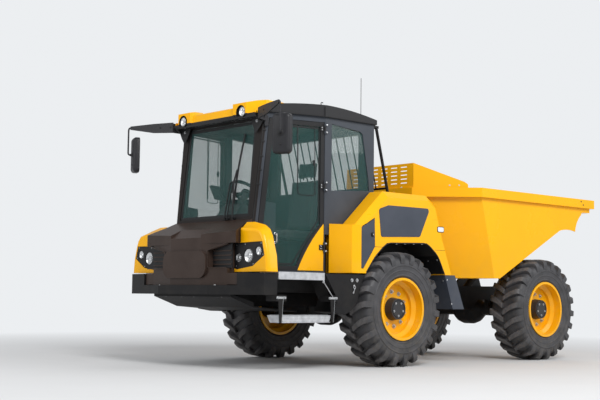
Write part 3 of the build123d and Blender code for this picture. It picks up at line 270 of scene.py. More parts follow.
def tyre_rubber(name, axle_x):
    """Dark rubber, dustier towards the ground, with the lugs' tops painted paler as a highlight."""
    paint = Paint(name)
    body = paint.mix(paint.noise(6.0, 6.0).ramp(0.3, 0.75), rgb(0.022, 0.022, 0.024), rgb(0.062, 0.061, 0.067))
    # Painted highlight: the lugs' tops are made paler where the tread would catch the light.
    lug_top_highlight = paint.wheel_radius(axle_x).ramp(0.556, 0.580) * paint.noise(30.0, 5.0).ramp(0.15, 0.6) * 0.5
    body = paint.mix(lug_top_highlight, body, rgb(0.170, 0.160, 0.158))
    film = paint.dust(0.0, 0.9, (22.0, 6.0), 0.4, 0.75) * 0.35
    paint.set(Base_Color=paint.mix(film, body, rgb(0.17, 0.145, 0.11)), Roughness=0.52 + film * 0.4)
    return paint.bump(paint.noise(260.0, 4.0), 0.35, 0.0015)


def pane(name, color, low, high):
    """Tinted safety glass, less clear at a glance."""
    paint = Paint(name)
    glance = paint.add("ShaderNodeLayerWeight", {}, {"Blend": 0.5}, "Facing") ** 3.0
    film = paint.noise(2.5, 4.0).ramp(0.5, 0.8)
    paint.set(Base_Color=paint.mix(film * 0.3, color, rgb(0.16, 0.18, 0.17)), Roughness=0.02 + film * 0.03,
              Alpha=(low + glance * (high - low) + film * 0.03).clamped())
    return paint.material


def bright_steel(name, color, rough, brushed=(4, 220, 220)):
    """Plated or brushed metal with fine drawn lines."""
    paint = Paint(name)
    lines = paint.noise(1.0, 4.0, paint.add("ShaderNodeMapping", {}, {"Vector": paint.place, "Scale": brushed}))
    dark = rgb(*(share * 0.7 for share in color[:3]))
    paint.set(Base_Color=paint.mix(lines, color, dark), Metallic=1.0, Roughness=rough + lines * 0.15)
    return paint.bump(lines, 0.08, 0.0005)


def tread_plate(name):
    """Bright plate with raised studs in rows and worn-in grey."""
    paint = Paint(name)
    wear = paint.noise(18.0, 5.0)
    paint.set(Base_Color=paint.mix(wear.ramp(0.35, 0.75), rgb(0.62, 0.63, 0.65), rgb(0.40, 0.41, 0.43)),
              Metallic=0.85, Roughness=0.34 + wear * 0.22)
    return paint.bump(1 - paint.cells(34.0, 0.0).ramp(0.22, 0.34), 0.6, 0.003)


def seat_cloth(name):
    """Woven seat cover: fine crossed threads."""
    paint = Paint(name)
    shade = paint.noise(9.0, 4.0)
    weave = paint.cells(420.0)
    body = paint.mix(shade, rgb(0.030, 0.032, 0.036), rgb(0.055, 0.058, 0.063))
    paint.set(Base_Color=paint.mix(weave * 0.5, body, rgb(0.085, 0.088, 0.094)), Roughness=0.85 + shade * 0.1,
              Sheen_Weight=0.25)
    return paint.bump(weave, 0.5, 0.0012)


def rim_paint(name, axle_x):
    """Amber wheel enamel with the black hub cap inside the bolt circle."""
    paint = Paint(name)
    clouds = paint.noise(4.0, 4.0)
    hub = paint.wheel_radius(axle_x) < HUB_CAP_R
    film = paint.noise(11.0, 6.0).ramp(0.5, 0.85) * 0.22
    enamel = paint.mix(film, paint.mix(clouds, AMBER, AMBER_DEEP), DUST)
    cap = paint.mix(clouds, rgb(0.016, 0.016, 0.018), rgb(0.035, 0.035, 0.037))
    paint.set(Base_Color=paint.mix(hub, enamel, cap), Roughness=0.30 + film * 0.6 + hub * 0.12,
              Specular_IOR_Level=0.3, Coat_Weight=0.15, Coat_Roughness=0.1)
    return paint.bump(paint.noise(200.0, 2.0), 0.12, 0.001)


# Marks: the fender's joint and painted shade along its sloping fold, the visor's lamp recess and the front of the
# cab's posts
JOINT_HEIGHT, CREASE_HEIGHT = 1.209, 1.532
CREASE_FROM, CREASE_SLOPE = -0.6, -0.06
VISOR_FOOT = 2.4745
RECESS_ACROSS, RECESS_HEIGHT, RECESS_R = 0.470, 2.492, 0.0715
RECESS_REAR, RECESS_FRONT = 1.606, 1.6405
POST_FACE = 1.556


def fender_marks(paint):
    """Panel joints of the fenders as thin dark lines, and painted shade along the sloping fold."""
    reach, rise = paint.axis("X") - FRONT_AXLE, paint.axis("Z")
    joint = band(rise, JOINT_HEIGHT, 0.0020) * ((reach < -0.560) + band(reach, 0.300, 0.062)).clamped()
    # Painted shade: a faint dark line along the fender's sloping fold.
    line = CREASE_HEIGHT + (reach - CREASE_FROM) * CREASE_SLOPE
    fold_shade = band(rise, line, 0.0016) * band(reach, -0.620, 0.090) * 0.35
    return (joint + fold_shade).clamped()


def visor_marks(paint):
    """Black underside and lamp recesses of the visor."""
    reach, rise = paint.axis("X") - FRONT_AXLE, paint.axis("Z")
    width = paint.add("ShaderNodeMath", {"operation": "ABSOLUTE"}, [paint.axis("Y")])
    bowl = distance(width - RECESS_ACROSS, rise - RECESS_HEIGHT) < RECESS_R
    return ((rise < VISOR_FOOT) + bowl * (reach > RECESS_REAR) * (reach < RECESS_FRONT)).clamped()


def screen_marks(paint):
    """Black front of the cab's posts and header round the windscreen."""
    return paint.axis("X") + (paint.axis("Z") - SCREEN_FOOT) * SCREEN_LEAN > ahead(POST_FACE)


amber = gloss_paint("amber_paint")
fender_amber = gloss_paint("fender_amber", fender_marks)
visor_amber = gloss_paint("visor_amber", visor_marks)
anthracite = satin_paint("dark_grey_paint", rgb(0.045, 0.052, 0.068), rgb(0.058, 0.066, 0.084), 0.40, 0.15)
chassis = satin_paint("chassis_black", rgb(0.006, 0.006, 0.007), rgb(0.012, 0.011, 0.011), 0.45, 0.07)
cab_grey = satin_paint("cab_grey", rgb(0.038, 0.044, 0.054), rgb(0.050, 0.057, 0.069), 0.40, 0.05, screen_marks)
cowl_dark = satin_paint("cowl_dark", rgb(0.034, 0.021, 0.016), rgb(0.048, 0.032, 0.026), 0.30, 0.05)
inside_grey = moulded("interior_grey", rgb(0.065, 0.066, 0.070), rgb(0.085, 0.086, 0.090), 0.6)
black_plastic = moulded("black_plastic", rgb(0.008, 0.008, 0.009), rgb(0.015, 0.015, 0.016), 0.45)
roof_plastic = moulded("roof_plastic", rgb(0.010, 0.010, 0.011), rgb(0.020, 0.020, 0.022), 0.5)
mirror_shell = moulded("mirror_shell", rgb(0.012, 0.012, 0.014), rgb(0.022, 0.022, 0.025), 0.4)
front_rubber = tyre_rubber("front_tyre_rubber", FRONT_AXLE)
rear_rubber = tyre_rubber("rear_tyre_rubber", REAR_AXLE)
window = pane("window_glass", rgb(0.048, 0.122, 0.112), 0.23, 0.85)
clear_lens = pane("clear_lens", rgb(0.75, 0.77, 0.78), 0.16, 0.8)
chrome = bright_steel("chrome_rod", rgb(0.72, 0.73, 0.75), 0.12, (200, 200, 4))
zinc = bright_steel("zinc_bolt", rgb(0.62, 0.63, 0.64), 0.3)
tread = tread_plate("bright_tread")
pale_lens = moulded("pale_lens", rgb(0.74, 0.76, 0.80), rgb(0.66, 0.68, 0.74), 0.2, 90.0)
mirror_metal = bright_steel("lamp_mirror", rgb(0.86, 0.87, 0.88), 0.06, (60, 60, 60))
silvered = bright_steel("mirror_face", rgb(0.80, 0.82, 0.84), 0.02, (2, 2, 2))
black_rubber = moulded("black_rubber", rgb(0.010, 0.010, 0.011), rgb(0.020, 0.020, 0.021), 0.6)
cloth_grey = seat_cloth("seat_cloth")
front_rims = rim_paint("front_rim_paint", FRONT_AXLE)
rear_rims = rim_paint("rear_rim_paint", REAR_AXLE)

# Finish of each solid
FINISHES = [
    (chassis, "front_frame front_axle rear_axle rear_frame tow_clevis cab_floor bumper engine_cover"),
    (chassis, "engine_block skirts rear_guard tip_ram_barrels steer_ram_barrel_left steer_ram_barrel_right"),
    (chrome, "tip_ram_rods steer_ram_rod_left steer_ram_rod_right"),
    (cab_grey, "cab_frame"),
    (roof_plastic, "cab_roof"),
    (window, "cab_glass door_glass_left door_glass_right"),
    (inside_grey, "seat console"),
    (cowl_dark, "cowl"),
    (amber, "corner_fenders skip skip_guard door_panel_left door_panel_right"),
    (fender_amber, "fenders"),
    (visor_amber, "visor"),
    (black_plastic, "nose_inserts antenna door_frame_left door_frame_right"),
    (mirror_shell, "mirrors"),
    (clear_lens, "lamps"),
    (anthracite, "fender_panels hatch_left hatch_right"),
    (tread, "treads"),
    (front_rubber, "tyre_front_left tyre_front_right"),
    (rear_rubber, "tyre_rear_left tyre_rear_right"),
    (front_rims, "rim_front_left rim_front_right"),
    (rear_rims, "rim_rear_left rim_rear_right"),
]
finish_of = {name: material for material, names in FINISHES for name in names.split()}
for name, node in nodes.items():
    node.data.materials.clear()
    node.data.materials.append(finish_of[name])


# Modelling: every mesh starts from a created shape or a few corners
def of_kind(grown, kind):
    """New verts or faces out of what an operator made."""
    return [item for item in grown["geom"] if isinstance(item, kind)]


def finished(mesh, name, material, body="front_body", bevel=0.0, sharp=38):
    """Makes an object at the origin that rides on a body."""
    bmesh.ops.remove_doubles(mesh, verts=mesh.verts, dist=1e-6)
    bmesh.ops.recalc_face_normals(mesh, faces=mesh.faces)
    for face in mesh.faces:
        face.smooth = True
    data = bpy.data.meshes.new(name)
    mesh.to_mesh(data)
    mesh.free()
    data.set_sharp_from_angle(angle=math.radians(sharp))
    data.materials.append(material)
    piece = in_scene(name, data)
    if bevel:
        edge = piece.modifiers.new("edge", "BEVEL")
        edge.width = bevel
        edge.segments = 2
        edge.limit_method = "ANGLE"
        edge.angle_limit = math.radians(40)
    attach(piece, body)
    return piece


def aim(direction):
    """Matrix that turns +Z along a direction."""
    return UP.rotation_difference(Vector(direction)).to_matrix().to_4x4()


def cuboid(mesh, centre, size, turn=Matrix()):
    """Box round a centre, turned by a matrix."""
    bmesh.ops.create_cube(mesh, size=1, matrix=Matrix.Translation(centre) @ turn @ Matrix.Diagonal((*size, 1)))


def block(mesh, corner, opposite):
    """Box between two corners."""
    corner, opposite = Vector(corner), Vector(opposite)
    cuboid(mesh, (corner + opposite) / 2, [abs(length) for length in opposite - corner])


def rod(mesh, start, end, radius, sides=12, end_radius=None):
    """Straight round bar, or a cone where its end has a radius of its own."""
    start, end = Vector(start), Vector(end)
    bmesh.ops.create_cone(mesh, cap_ends=True, segments=sides, radius1=radius,
                          radius2=radius if end_radius is None else end_radius, depth=(end - start).length,
                          matrix=Matrix.Translation((start + end) / 2) @ aim(end - start))


def bolt(mesh, place, direction, radius, washer=1.45):
    """Hexagon head on a washer, standing on a face."""
    place, out = Vector(place), Vector(direction).normalized()
    rod(mesh, place - out * 0.001, place + out * radius * 0.25, radius * washer, 14)
    rod(mesh, place, place + out * radius * 0.9, radius, 6, radius * 0.9)


def stud(mesh, place, direction, radius):
    """Round screw head."""
    place, out = Vector(place), Vector(direction).normalized()
    rod(mesh, place - out * 0.001, place + out * radius * 0.3, radius, 12, radius * 0.92)
    rod(mesh, place + out * radius * 0.3, place + out * radius * 0.55, radius * 0.92, 12, radius * 0.4)


def fasten(mesh, table, side=1):
    """Rows of heads: kind of head, radius, direction it points and places, on the left or the right."""
    for head, radius, (x, y, z), places in table:
        for distance_ahead, across, height in places:
            head(mesh, at(distance_ahead, side * across, height), (x, side * y, z), radius)


def lathe(mesh, profile, centre, axis, steps=32):
    """Spins pairs of (distance along the axis, radius) round it."""
    axis = Vector(axis).normalized()
    matrix = Matrix.Translation(centre) @ aim(axis)
    verts = [mesh.verts.new(matrix @ Vector((radius, 0, along))) for along, radius in profile]
    edges = [mesh.edges.new(pair) for pair in zip(verts, verts[1:])]
    bmesh.ops.spin(mesh, geom=verts + edges, cent=centre, axis=axis, angle=2 * math.pi, steps=steps,
                   use_merge=True)


def absorb(mesh, part):
    """Moves the contents of one mesh into another."""
    data = bpy.data.meshes.new("passing")
    part.to_mesh(data)
    part.free()
    mesh.from_mesh(data)
    bpy.data.meshes.remove(data)


def rectangle(half_width, half_height):
    """Corners of an outline round its middle."""
    return [(-half_width, -half_height), (half_width, -half_height), (half_width, half_height),
            (-half_width, half_height)]


def mirrored(outline, side):
    """An outline as it is on the left, or its mirror image."""
    return [(side * u, v) for u, v in outline]


def arc(centre, across, up, radius, start, end, steps):
    """Points round a centre from one angle in degrees to another; 0 lies along up."""
    turns = [math.radians(start + (end - start) * count / steps) for count in range(steps + 1)]
    return [centre + across * (radius * math.sin(turn)) + up * (radius * math.cos(turn)) for turn in turns]


def flat_face(mesh, outline, origin, across, up, round_off):
    """One face from a plane outline, its corners rounded off."""
    mesh.faces.new([mesh.verts.new(origin + across * u + up * v) for u, v in outline])
    if round_off:
        bmesh.ops.bevel(mesh, geom=mesh.verts[:], offset=round_off, segments=5, profile=0.5, affect="VERTICES",
                        material=-1)


def plate(mesh, outline, origin, across, up, thickness, round_off=0.0, rim=0.0):
    """Plate from a plane outline, thickened along across x up; a rim leaves only a frame of it."""
    part = bmesh.new()
    across, up = Vector(across).normalized(), Vector(up).normalized()
    flat_face(part, outline, Vector(origin), across, up, round_off)
    faces = part.faces[:]
    if rim:
        hole = faces
        faces = bmesh.ops.inset_region(part, faces=hole, thickness=rim, depth=0, use_boundary=True,
                                       use_even_offset=True)["faces"]
        bmesh.ops.delete(part, geom=hole, context="FACES")
    grown = bmesh.ops.extrude_face_region(part, geom=faces)
    bmesh.ops.translate(part, vec=across.cross(up) * thickness, verts=of_kind(grown, bmesh.types.BMVert))
    absorb(mesh, part)


def bent(points, bend, steps=5):
    """Points of a path whose corners are rounded."""
    corners = [Vector(point) for point in points]
    path = [corners[0]]
    for before, corner, after in zip(corners, corners[1:], corners[2:]):
        near = corner + (before - corner).normalized() * min(bend, (before - corner).length / 2.1)
        far = corner + (after - corner).normalized() * min(bend, (after - corner).length / 2.1)
        for step in range(steps + 1):
            share = step / steps
            path.append(near.lerp(corner, share).lerp(corner.lerp(far, share), share))
    return path + [corners[-1]]


def pipe(mesh, points, radius, bend=0.03, sides=10):
    """Round tube drawn along a path, ring after ring."""
    path = bent(points, bend)
    legs = [after - before for before, after in zip(path, path[1:])]
    part = bmesh.new()
    bmesh.ops.create_circle(part, cap_ends=True, segments=sides, radius=radius,
                            matrix=Matrix.Translation(path[0]) @ aim(legs[0]))
    face = part.faces[:]
    heading = legs[0].normalized()
    for number, leg in enumerate(legs):
        onward = legs[min(number + 1, len(legs) - 1)]
        middle = (leg.normalized() + onward.normalized()).normalized()
        grown = bmesh.ops.extrude_face_region(part, geom=face)
        face = of_kind(grown, bmesh.types.BMFace)
        swing = heading.rotation_difference(middle).to_matrix().to_4x4()
        step = Matrix.Translation(path[number + 1]) @ swing @ Matrix.Translation(-path[number])
        bmesh.ops.transform(part, matrix=step, verts=of_kind(grown, bmesh.types.BMVert))
        heading = middle
    absorb(mesh, part)


# Wheels: tyres with curved lugs, nuts and hub screws
LUG_COUNT = 22
LUG_REACH = 0.076
LUG_TURN = math.radians(90) + math.asin(LUG_REACH / TYRE_R)
NUT_COUNT, NUT_CIRCLE, DISC_FACE = 10, 0.178, 0.041
HUB_SCREW_COUNT, HUB_SCREW_CIRCLE, HUB_FACE = 5, 0.070, 0.127

# Section of the casing from the tyre's middle: distance across and radius
CASING = [(0.0, 0.545), (0.06, 0.545), (0.12, 0.542), (0.165, 0.532), (0.190, 0.512), (0.201, 0.482),
          (0.2035, 0.454), (0.2090, 0.450), (0.2090, 0.441), (0.2035, 0.437), (0.2000, 0.402),
          (0.2025, 0.399), (0.2020, 0.391), (0.1975, 0.388), (0.1900, 0.352), (0.1930, 0.348),
          (0.1915, 0.340), (0.1850, 0.335), (0.1760, 0.3235), (0.1640, 0.3040), (0.1480, 0.3035)]

# Along a lug: distance across, radius of its top, place of its middle along the tread, half width, depth, tuck
LUG_RUN = [(0.004, 0.5850, -0.050, 0.025, 0.050, 0.0), (0.036, 0.5850, -0.028, 0.027, 0.050, 0.0),
           (0.070, 0.5848, -0.006, 0.028, 0.050, 0.0), (0.106, 0.5838, 0.014, 0.029, 0.050, 0.0),
           (0.142, 0.5812, 0.030, 0.030, 0.050, 0.0), (0.174, 0.5745, 0.041, 0.031, 0.050, 0.006),
           (0.196, 0.5600, 0.046, 0.032, 0.050, 0.016), (0.2080, 0.5320, 0.047, 0.033, 0.036, 0.022),
           (0.2098, 0.4960, 0.046, 0.034, 0.020, 0.020), (0.2070, 0.4640, 0.044, 0.035, 0.006, 0.012)]


def add_lug(mesh, half, turn):
    """One lug, curved from the tyre's middle over the shoulder and down its side."""
    rows = len(LUG_RUN) - 1
    part = bmesh.new()
    bmesh.ops.create_grid(part, x_segments=rows, y_segments=1, size=1)
    grown = bmesh.ops.extrude_face_region(part, geom=part.faces[:])
    bmesh.ops.translate(part, vec=(0, 0, -1), verts=of_kind(grown, bmesh.types.BMVert))
    for vert in part.verts:
        across, radius, middle, width, depth, tuck = LUG_RUN[round((vert.co.x + 1) / 2 * rows)]
        foot = -vert.co.z
        along = middle + vert.co.y * width * (1 + 0.3 * foot)
        swing = math.atan2(along, TYRE_R) - turn
        reach = radius - depth * foot
        vert.co = (reach * math.cos(swing), half * (across - tuck * foot), reach * math.sin(swing))
    absorb(mesh, part)


def add_tyre(wheel, axle_x, side, rubber):
    """Casing and lugs in one mesh, in place of the plain tyre."""
    mesh = bmesh.new()
    section = [(-across, radius) for across, radius in reversed(CASING[1:])] + CASING
    lathe(mesh, section, (0, 0, 0), (0, 1, 0), 4 * LUG_COUNT)
    for half in (1, -1):
        for count in range(LUG_COUNT):
            add_lug(mesh, half, LUG_TURN + 2 * math.pi / LUG_COUNT * (count + (half < 0) / 2))
    bmesh.ops.translate(mesh, vec=(axle_x, side * WHEEL_Y, AXLE_Z), verts=mesh.verts)
    piece = finished(mesh, f"lugged_tyre_{wheel}", rubber, f"wheel_{wheel}", 0.003)
    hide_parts(f"tyre_{wheel}")


def on_wheel(axle_x, side, radius, degrees, out):
    """Point at a radius and angle on a wheel, so far outboard of its middle."""
    angle = math.radians(degrees)
    return Vector((axle_x + radius * math.cos(angle), side * (WHEEL_Y + out), AXLE_Z + radius * math.sin(angle)))


def add_wheel_screws(wheel, axle_x, side):
    """Nuts round the disc, screws on the hub cap and a ring round it."""
    body = f"wheel_{wheel}"
    out = Vector((0, side, 0))
    nuts = bmesh.new()
    for count in range(NUT_COUNT):
        place = on_wheel(axle_x, side, NUT_CIRCLE, 360 / NUT_COUNT * count + 12, DISC_FACE)
        bolt(nuts, place, out, 0.0155)
        rod(nuts, place, place + out * 0.026, 0.009, 10, 0.008)
    finished(nuts, f"wheel_nuts_{wheel}", zinc, body)
    screws = bmesh.new()
    for count in range(HUB_SCREW_COUNT):
        place = on_wheel(axle_x, side, HUB_SCREW_CIRCLE, 360 / HUB_SCREW_COUNT * count + 54, HUB_FACE)
        bolt(screws, place, out, 0.0085)
    finished(screws, f"hub_screws_{wheel}", zinc, body)
    ring = bmesh.new()
    lathe(ring, [(0.124, 0.094), (0.131, 0.092), (0.131, 0.084), (0.124, 0.082)],
          (axle_x, side * WHEEL_Y, AXLE_Z), out, 40)
    bmesh.ops.bridge_loops(ring, edges=[edge for edge in ring.edges if edge.is_boundary])
    finished(ring, f"hub_ring_{wheel}", black_plastic, body)


for side_name, side in SIDES.items():
    for end, axle_x, rubber in [("front", FRONT_AXLE, front_rubber), ("rear", REAR_AXLE, rear_rubber)]:
        add_tyre(f"{end}_{side_name}", axle_x, side, rubber)
        add_wheel_screws(f"{end}_{side_name}", axle_x, side)


# Lamps: across, height and radius; and the station and height of the marker at the fender's rear end
NOSE_LAMPS = [(0.807, 1.078, 0.070), (0.952, 1.119, 0.048), (0.662, 1.061, 0.048)]
NOSE_LAMP_BACK = 1.7703
ROOF_LAMP = (0.480, 2.498, 0.052)
ROOF_LAMP_BACK = 1.6123
MARKER = (-0.651, 1.431)
FENDER_SIDE = 1.0703


def add_lamps():
    """Housings, reflectors, projectors and lenses."""
    housings, reflectors, lenses, markers = bmesh.new(), bmesh.new(), bmesh.new(), bmesh.new()
    for side in SIDES.values():
        for across, height, radius in NOSE_LAMPS:
            back = at(NOSE_LAMP_BACK, side * across, height)
            wall = radius - 0.0006
            lathe(housings, [(0.0, 0.0), (0.0, wall), (0.0215, wall), (0.0225, wall - 0.004),
                             (0.0215, wall - 0.007), (0.012, wall - 0.008)], back, FORWARD, 36)
            bowl = [(0.003, 0.0), (0.004, radius * 0.3), (0.008, radius * 0.62), (0.0165, wall - 0.0075)]
            projector = [(0.004, radius * 0.3), (0.014, radius * 0.3), (0.0165, radius * 0.2), (0.0175, 0.0)]
            lathe(reflectors, bowl, back, FORWARD, 36)
            lathe(reflectors, projector, back, FORWARD, 24)
            lathe(lenses, [(0.0185, wall - 0.0075), (0.0205, radius * 0.6), (0.0215, 0.0)], back, FORWARD, 36)
        across, height, radius = ROOF_LAMP
        back = at(ROOF_LAMP_BACK, side * across, height)
        lathe(housings, [(0.0, 0.0), (0.0, radius), (0.021, radius), (0.022, radius - 0.003),
                         (0.021, radius - 0.006), (0.012, radius - 0.007)], back, FORWARD)
        lathe(reflectors, [(0.004, 0.0), (0.006, radius * 0.5), (0.014, radius - 0.0065)], back, FORWARD)
        for u, v in rectangle(0.018, 0.018):
            lathe(reflectors, [(0.006, 0.010), (0.014, 0.010), (0.016, 0.005), (0.0165, 0.0)],
                  back + Vector((0, u, v)), FORWARD, 16)
        lathe(lenses, [(0.018, radius - 0.0065), (0.020, radius * 0.5), (0.0205, 0.0)], back, FORWARD)
        corner = at(MARKER[0], side * FENDER_SIDE, MARKER[1])
        plate(housings, rectangle(0.055, 0.031), corner, (side, 0, 0), UP, -0.003, 0.019)
        plate(markers, rectangle(0.0473, 0.02418), corner + Vector((0, side * 0.003, 0)), (side, 0, 0), UP,
              -0.0025, 0.015)
    piece = finished(housings, "lamp_housings", black_plastic)
    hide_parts("lamps")
    finished(reflectors, "lamp_reflectors", mirror_metal)
    finished(markers, "marker_lenses", pale_lens, bevel=0.001)
    glass = finished(lenses, "lamp_lenses", clear_lens)


add_lamps()


# Places on the leaning door and the windscreen
DOOR_ALONG = Vector((0.640, -0.175, 0)).normalized()
HINGE_POST = 0.820
SCREEN_OUT = Vector((1, 0, SCREEN_LEAN)).normalized()
SCREEN_UP = Vector((-SCREEN_LEAN, 0, 1)).normalized()


def door_place(along, height, out, side):
    """Point on a door: along it from the hinge post, up, and outward from its face."""
    face = at(HINGE_POST, HINGE_POST, height) + DOOR_ALONG * along + UP.cross(DOOR_ALONG) * out
    return Vector((face.x, side * face.y, face.z))


def door_axes(side):
    """Directions along a door and out of it."""
    return Vector((DOOR_ALONG.x, side * DOOR_ALONG.y, 0)), Vector((-DOOR_ALONG.y, side * DOOR_ALONG.x, 0))


def door_turn(side):
    """Matrix that lines a box up with a door."""
    return Matrix((*door_axes(side), UP)).transposed().to_4x4()


def door_plate(mesh, outline, origin, side, thickness, round_off, rim=0.0):
    """Plate that lies along a door, from an outline seen from outside."""
    plate(mesh, mirrored(outline, side), origin, door_axes(side)[0] * side, UP, thickness, round_off, rim)


def screen_station(height):
    """How far ahead of the front axle the windscreen's face is."""
    return SCREEN_AHEAD - SCREEN_LEAN * (height - SCREEN_FOOT)


def screen_place(across, height, out):
    """Point on the windscreen's face, or so far in front of it."""
    return at(screen_station(height), across, height) + SCREEN_OUT * out


def door_edge(height):
    """Distance along the door's face to the front edge of the cab."""
    return (screen_station(height) - HINGE_POST) / DOOR_ALONG.x


# Doors: window gasket, pull, catch, hinge screws, and clips and a trim on the front posts
PANE_FACE = -0.0138
RIM_LOW, RIM_HIGH = 1.010, 2.388
PULL_ALONG, PULL_LOW, PULL_HIGH = 0.543, 1.222, 1.308
TRIM_LOW, TRIM_HIGH = 0.965, 2.470
HINGE_HEIGHTS = (1.190, 1.800, 2.380)
CLIP_HEIGHTS = (2.450, 2.317, 2.205, 2.058, 1.923, 1.783)


def add_door_details(side_name, side):
    """Small pieces on one door and its posts."""
    body = f"door_{side_name}"
    out = door_axes(side)[1]

    def spot(along, height, away=0.0):
        return door_place(along, height, away, side)

    seal = bmesh.new()
    door_plate(seal, [(0.0, 0.0), (0.200, 0.0), (0.215, 0.745), (0.012, 0.745)], spot(0.103, 1.700, PANE_FACE),
               side, -0.003, 0.035, 0.0075)
    border = [(0.060, 1.470), (0.060, RIM_HIGH), (door_edge(RIM_HIGH) - 0.118, RIM_HIGH),
              (door_edge(RIM_LOW) - 0.118, RIM_LOW), (0.352, RIM_LOW)]
    door_plate(seal, border, spot(0, 0, PANE_FACE), side, -0.002, 0.02, 0.014)
    half = Vector((0.004, 0.003, 0))
    block(seal, spot(0.30, 1.74, -0.02) - half, spot(0.30, 2.40, -0.02) + half)
    finished(seal, f"door_window_seal_{side_name}", black_rubber, body)
    pull = bmesh.new()
    pipe(pull, [spot(PULL_ALONG, PULL_LOW, PANE_FACE), spot(PULL_ALONG, PULL_LOW, 0.022),
                spot(PULL_ALONG, PULL_HIGH, 0.022), spot(PULL_ALONG, PULL_HIGH, PANE_FACE)], 0.008, 0.014)
    for height in (PULL_LOW, PULL_HIGH):
        stud(pull, spot(PULL_ALONG, height, PANE_FACE), out, 0.014)
    finished(pull, f"door_pull_{side_name}", zinc, body)
    latch = bmesh.new()
    cuboid(latch, spot(0.122, 2.03, -0.020), (0.020, 0.020, 0.056))
    finished(latch, f"door_window_catch_{side_name}", black_plastic, body, 0.003)
    post_screws, leaf_screws = bmesh.new(), bmesh.new()
    for height in HINGE_HEIGHTS:
        for way in (-1, 1):
            stud(post_screws, spot(-0.006, height + way * 0.0375, 0.0195), out, 0.0085)
            stud(leaf_screws, spot(0.044, height + way * 0.012, 0.008), out, 0.0055)
    finished(post_screws, f"hinge_bolts_{side_name}", zinc)
    finished(leaf_screws, f"door_hinge_screws_{side_name}", zinc, body)
    clips = bmesh.new()
    for height in CLIP_HEIGHTS:
        cuboid(clips, spot(door_edge(height) - 0.026, height, 0.003), (0.042, 0.010, 0.014), door_turn(side))
    finished(clips, f"post_clips_{side_name}", black_plastic, bevel=0.002)
    trim = bmesh.new()
    pipe(trim, [spot(door_edge(height) - 0.010, height, 0.002) for height in (TRIM_LOW, TRIM_HIGH)], 0.005)
    finished(trim, f"post_trim_{side_name}", black_rubber)


for side_name, side in SIDES.items():
    add_door_details(side_name, side)


# Windscreen: border, and the wiper's arm and links as paths of (across, height, distance off the glass)
BORDER_FOOT, BORDER_TOP = 1.470, 2.420
WIPER_ARM = [(0.350, 1.455, 0.004), (0.350, 1.455, 0.034), (0.322, 1.815, 0.036), (0.334, 1.942, 0.016)]
WIPER_LINK = [(0.215, 1.455, 0.004), (0.215, 1.455, 0.028), (0.262, 1.815, 0.030), (0.330, 1.815, 0.030)]
WIPER_STAY = [(0.250, 1.455, 0.004), (0.250, 1.455, 0.026), (0.300, 1.800, 0.028)]
WIPER_BLADE = [(0.315, 1.600, 0.004), (0.334, 1.942, 0.009), (0.392, 2.300, 0.004)]


def screen_pipe(mesh, path, radius, bend):
    """Tube along a path in front of the windscreen."""
    pipe(mesh, [screen_place(*point) for point in path], radius, bend)


def add_screen():
    """Border of the windscreen, wiper and blade."""
    border = bmesh.new()
    tall = BORDER_TOP - BORDER_FOOT
    plate(border, [(-0.560, 0.0), (0.560, 0.0), (0.540, tall), (-0.540, tall)],
          screen_place(0, BORDER_FOOT, -0.0095), (0, 1, 0), SCREEN_UP, 0.002, 0.03, 0.030)
    finished(border, "screen_border", black_rubber)
    wiper = bmesh.new()
    screen_pipe(wiper, WIPER_ARM, 0.0090, 0.02)
    screen_pipe(wiper, WIPER_LINK, 0.0075, 0.03)
    screen_pipe(wiper, WIPER_STAY, 0.0065, 0.02)
    for path in (WIPER_LINK, WIPER_STAY, WIPER_ARM):
        across, height, _ = path[0]
        rod(wiper, screen_place(across, height, 0.0), screen_place(across, height, 0.022), 0.014, 16, 0.011)
    finished(wiper, "wiper_arm", black_plastic)
    blade = bmesh.new()
    screen_pipe(blade, WIPER_BLADE, 0.0100, 0.20)
    finished(blade, "wiper_blade", black_rubber)


add_screen()


# Mirrors: plate arms, rods and heads turned towards the driver, in place of the plain ones
MIRROR_YAW = math.radians(23)
MIRROR_AT = (1.737, 1.194, 2.200)
SHELL_FRONT = 0.033
ARM_KNEE = (1.596, 0.698)


def mirror_axes(side):
    """Directions across a mirror's head and out of its back."""
    return (Vector((-math.sin(MIRROR_YAW), side * math.cos(MIRROR_YAW), 0)),
            Vector((math.cos(MIRROR_YAW), side * math.sin(MIRROR_YAW), 0)))


def mirror_head(mesh, centre, side):
    """Shell with rounded corners and a crowned back."""
    across, back = mirror_axes(side)
    shell = bmesh.new()
    flat_face(shell, rectangle(0.095, 0.190), centre - back * SHELL_FRONT, across, UP, 0.044)
    grown = bmesh.ops.extrude_face_region(shell, geom=shell.faces[:])
    bmesh.ops.translate(shell, vec=back * 0.042, verts=of_kind(grown, bmesh.types.BMVert))
    bmesh.ops.recalc_face_normals(shell, faces=shell.faces)
    crown = of_kind(grown, bmesh.types.BMFace)
    for inset, rise in [(0.008, 0.014), (0.018, 0.010)]:
        bmesh.ops.inset_region(shell, faces=crown, thickness=inset, depth=rise)
    absorb(mesh, shell)


def mirror_arm(mesh, side):
    """Foot on the cab, two upright plates in a knee, and the rod that bends down to the head."""
    cuboid(mesh, door_place(0.670, 2.400, 0.015, side), (0.044, 0.030, 0.090), door_turn(side))
    plate(mesh, [(0.0, 0.0), (0.153, 0.010), (0.153, 0.110), (0.0, 0.092)],
          at(1.460, side * 0.668, 2.400), (0.147, side * 0.042, 0), UP, side * 0.014)
    plate(mesh, [(0.0, 0.0), (0.250, 0.012), (0.549, 0.064), (0.549, 0.100), (0.250, 0.110), (0.0, 0.110)],
          at(ARM_KNEE[0], side * ARM_KNEE[1], 2.408), (0.190, side * 0.515, 0), UP, side * 0.014)
    pipe(mesh, [at(1.780, side * 1.190, 2.492), at(1.800, side * 1.236, 2.492), at(1.798, side * 1.240, 2.202),
                at(1.772, side * 1.206, 2.200)], 0.009, 0.03)


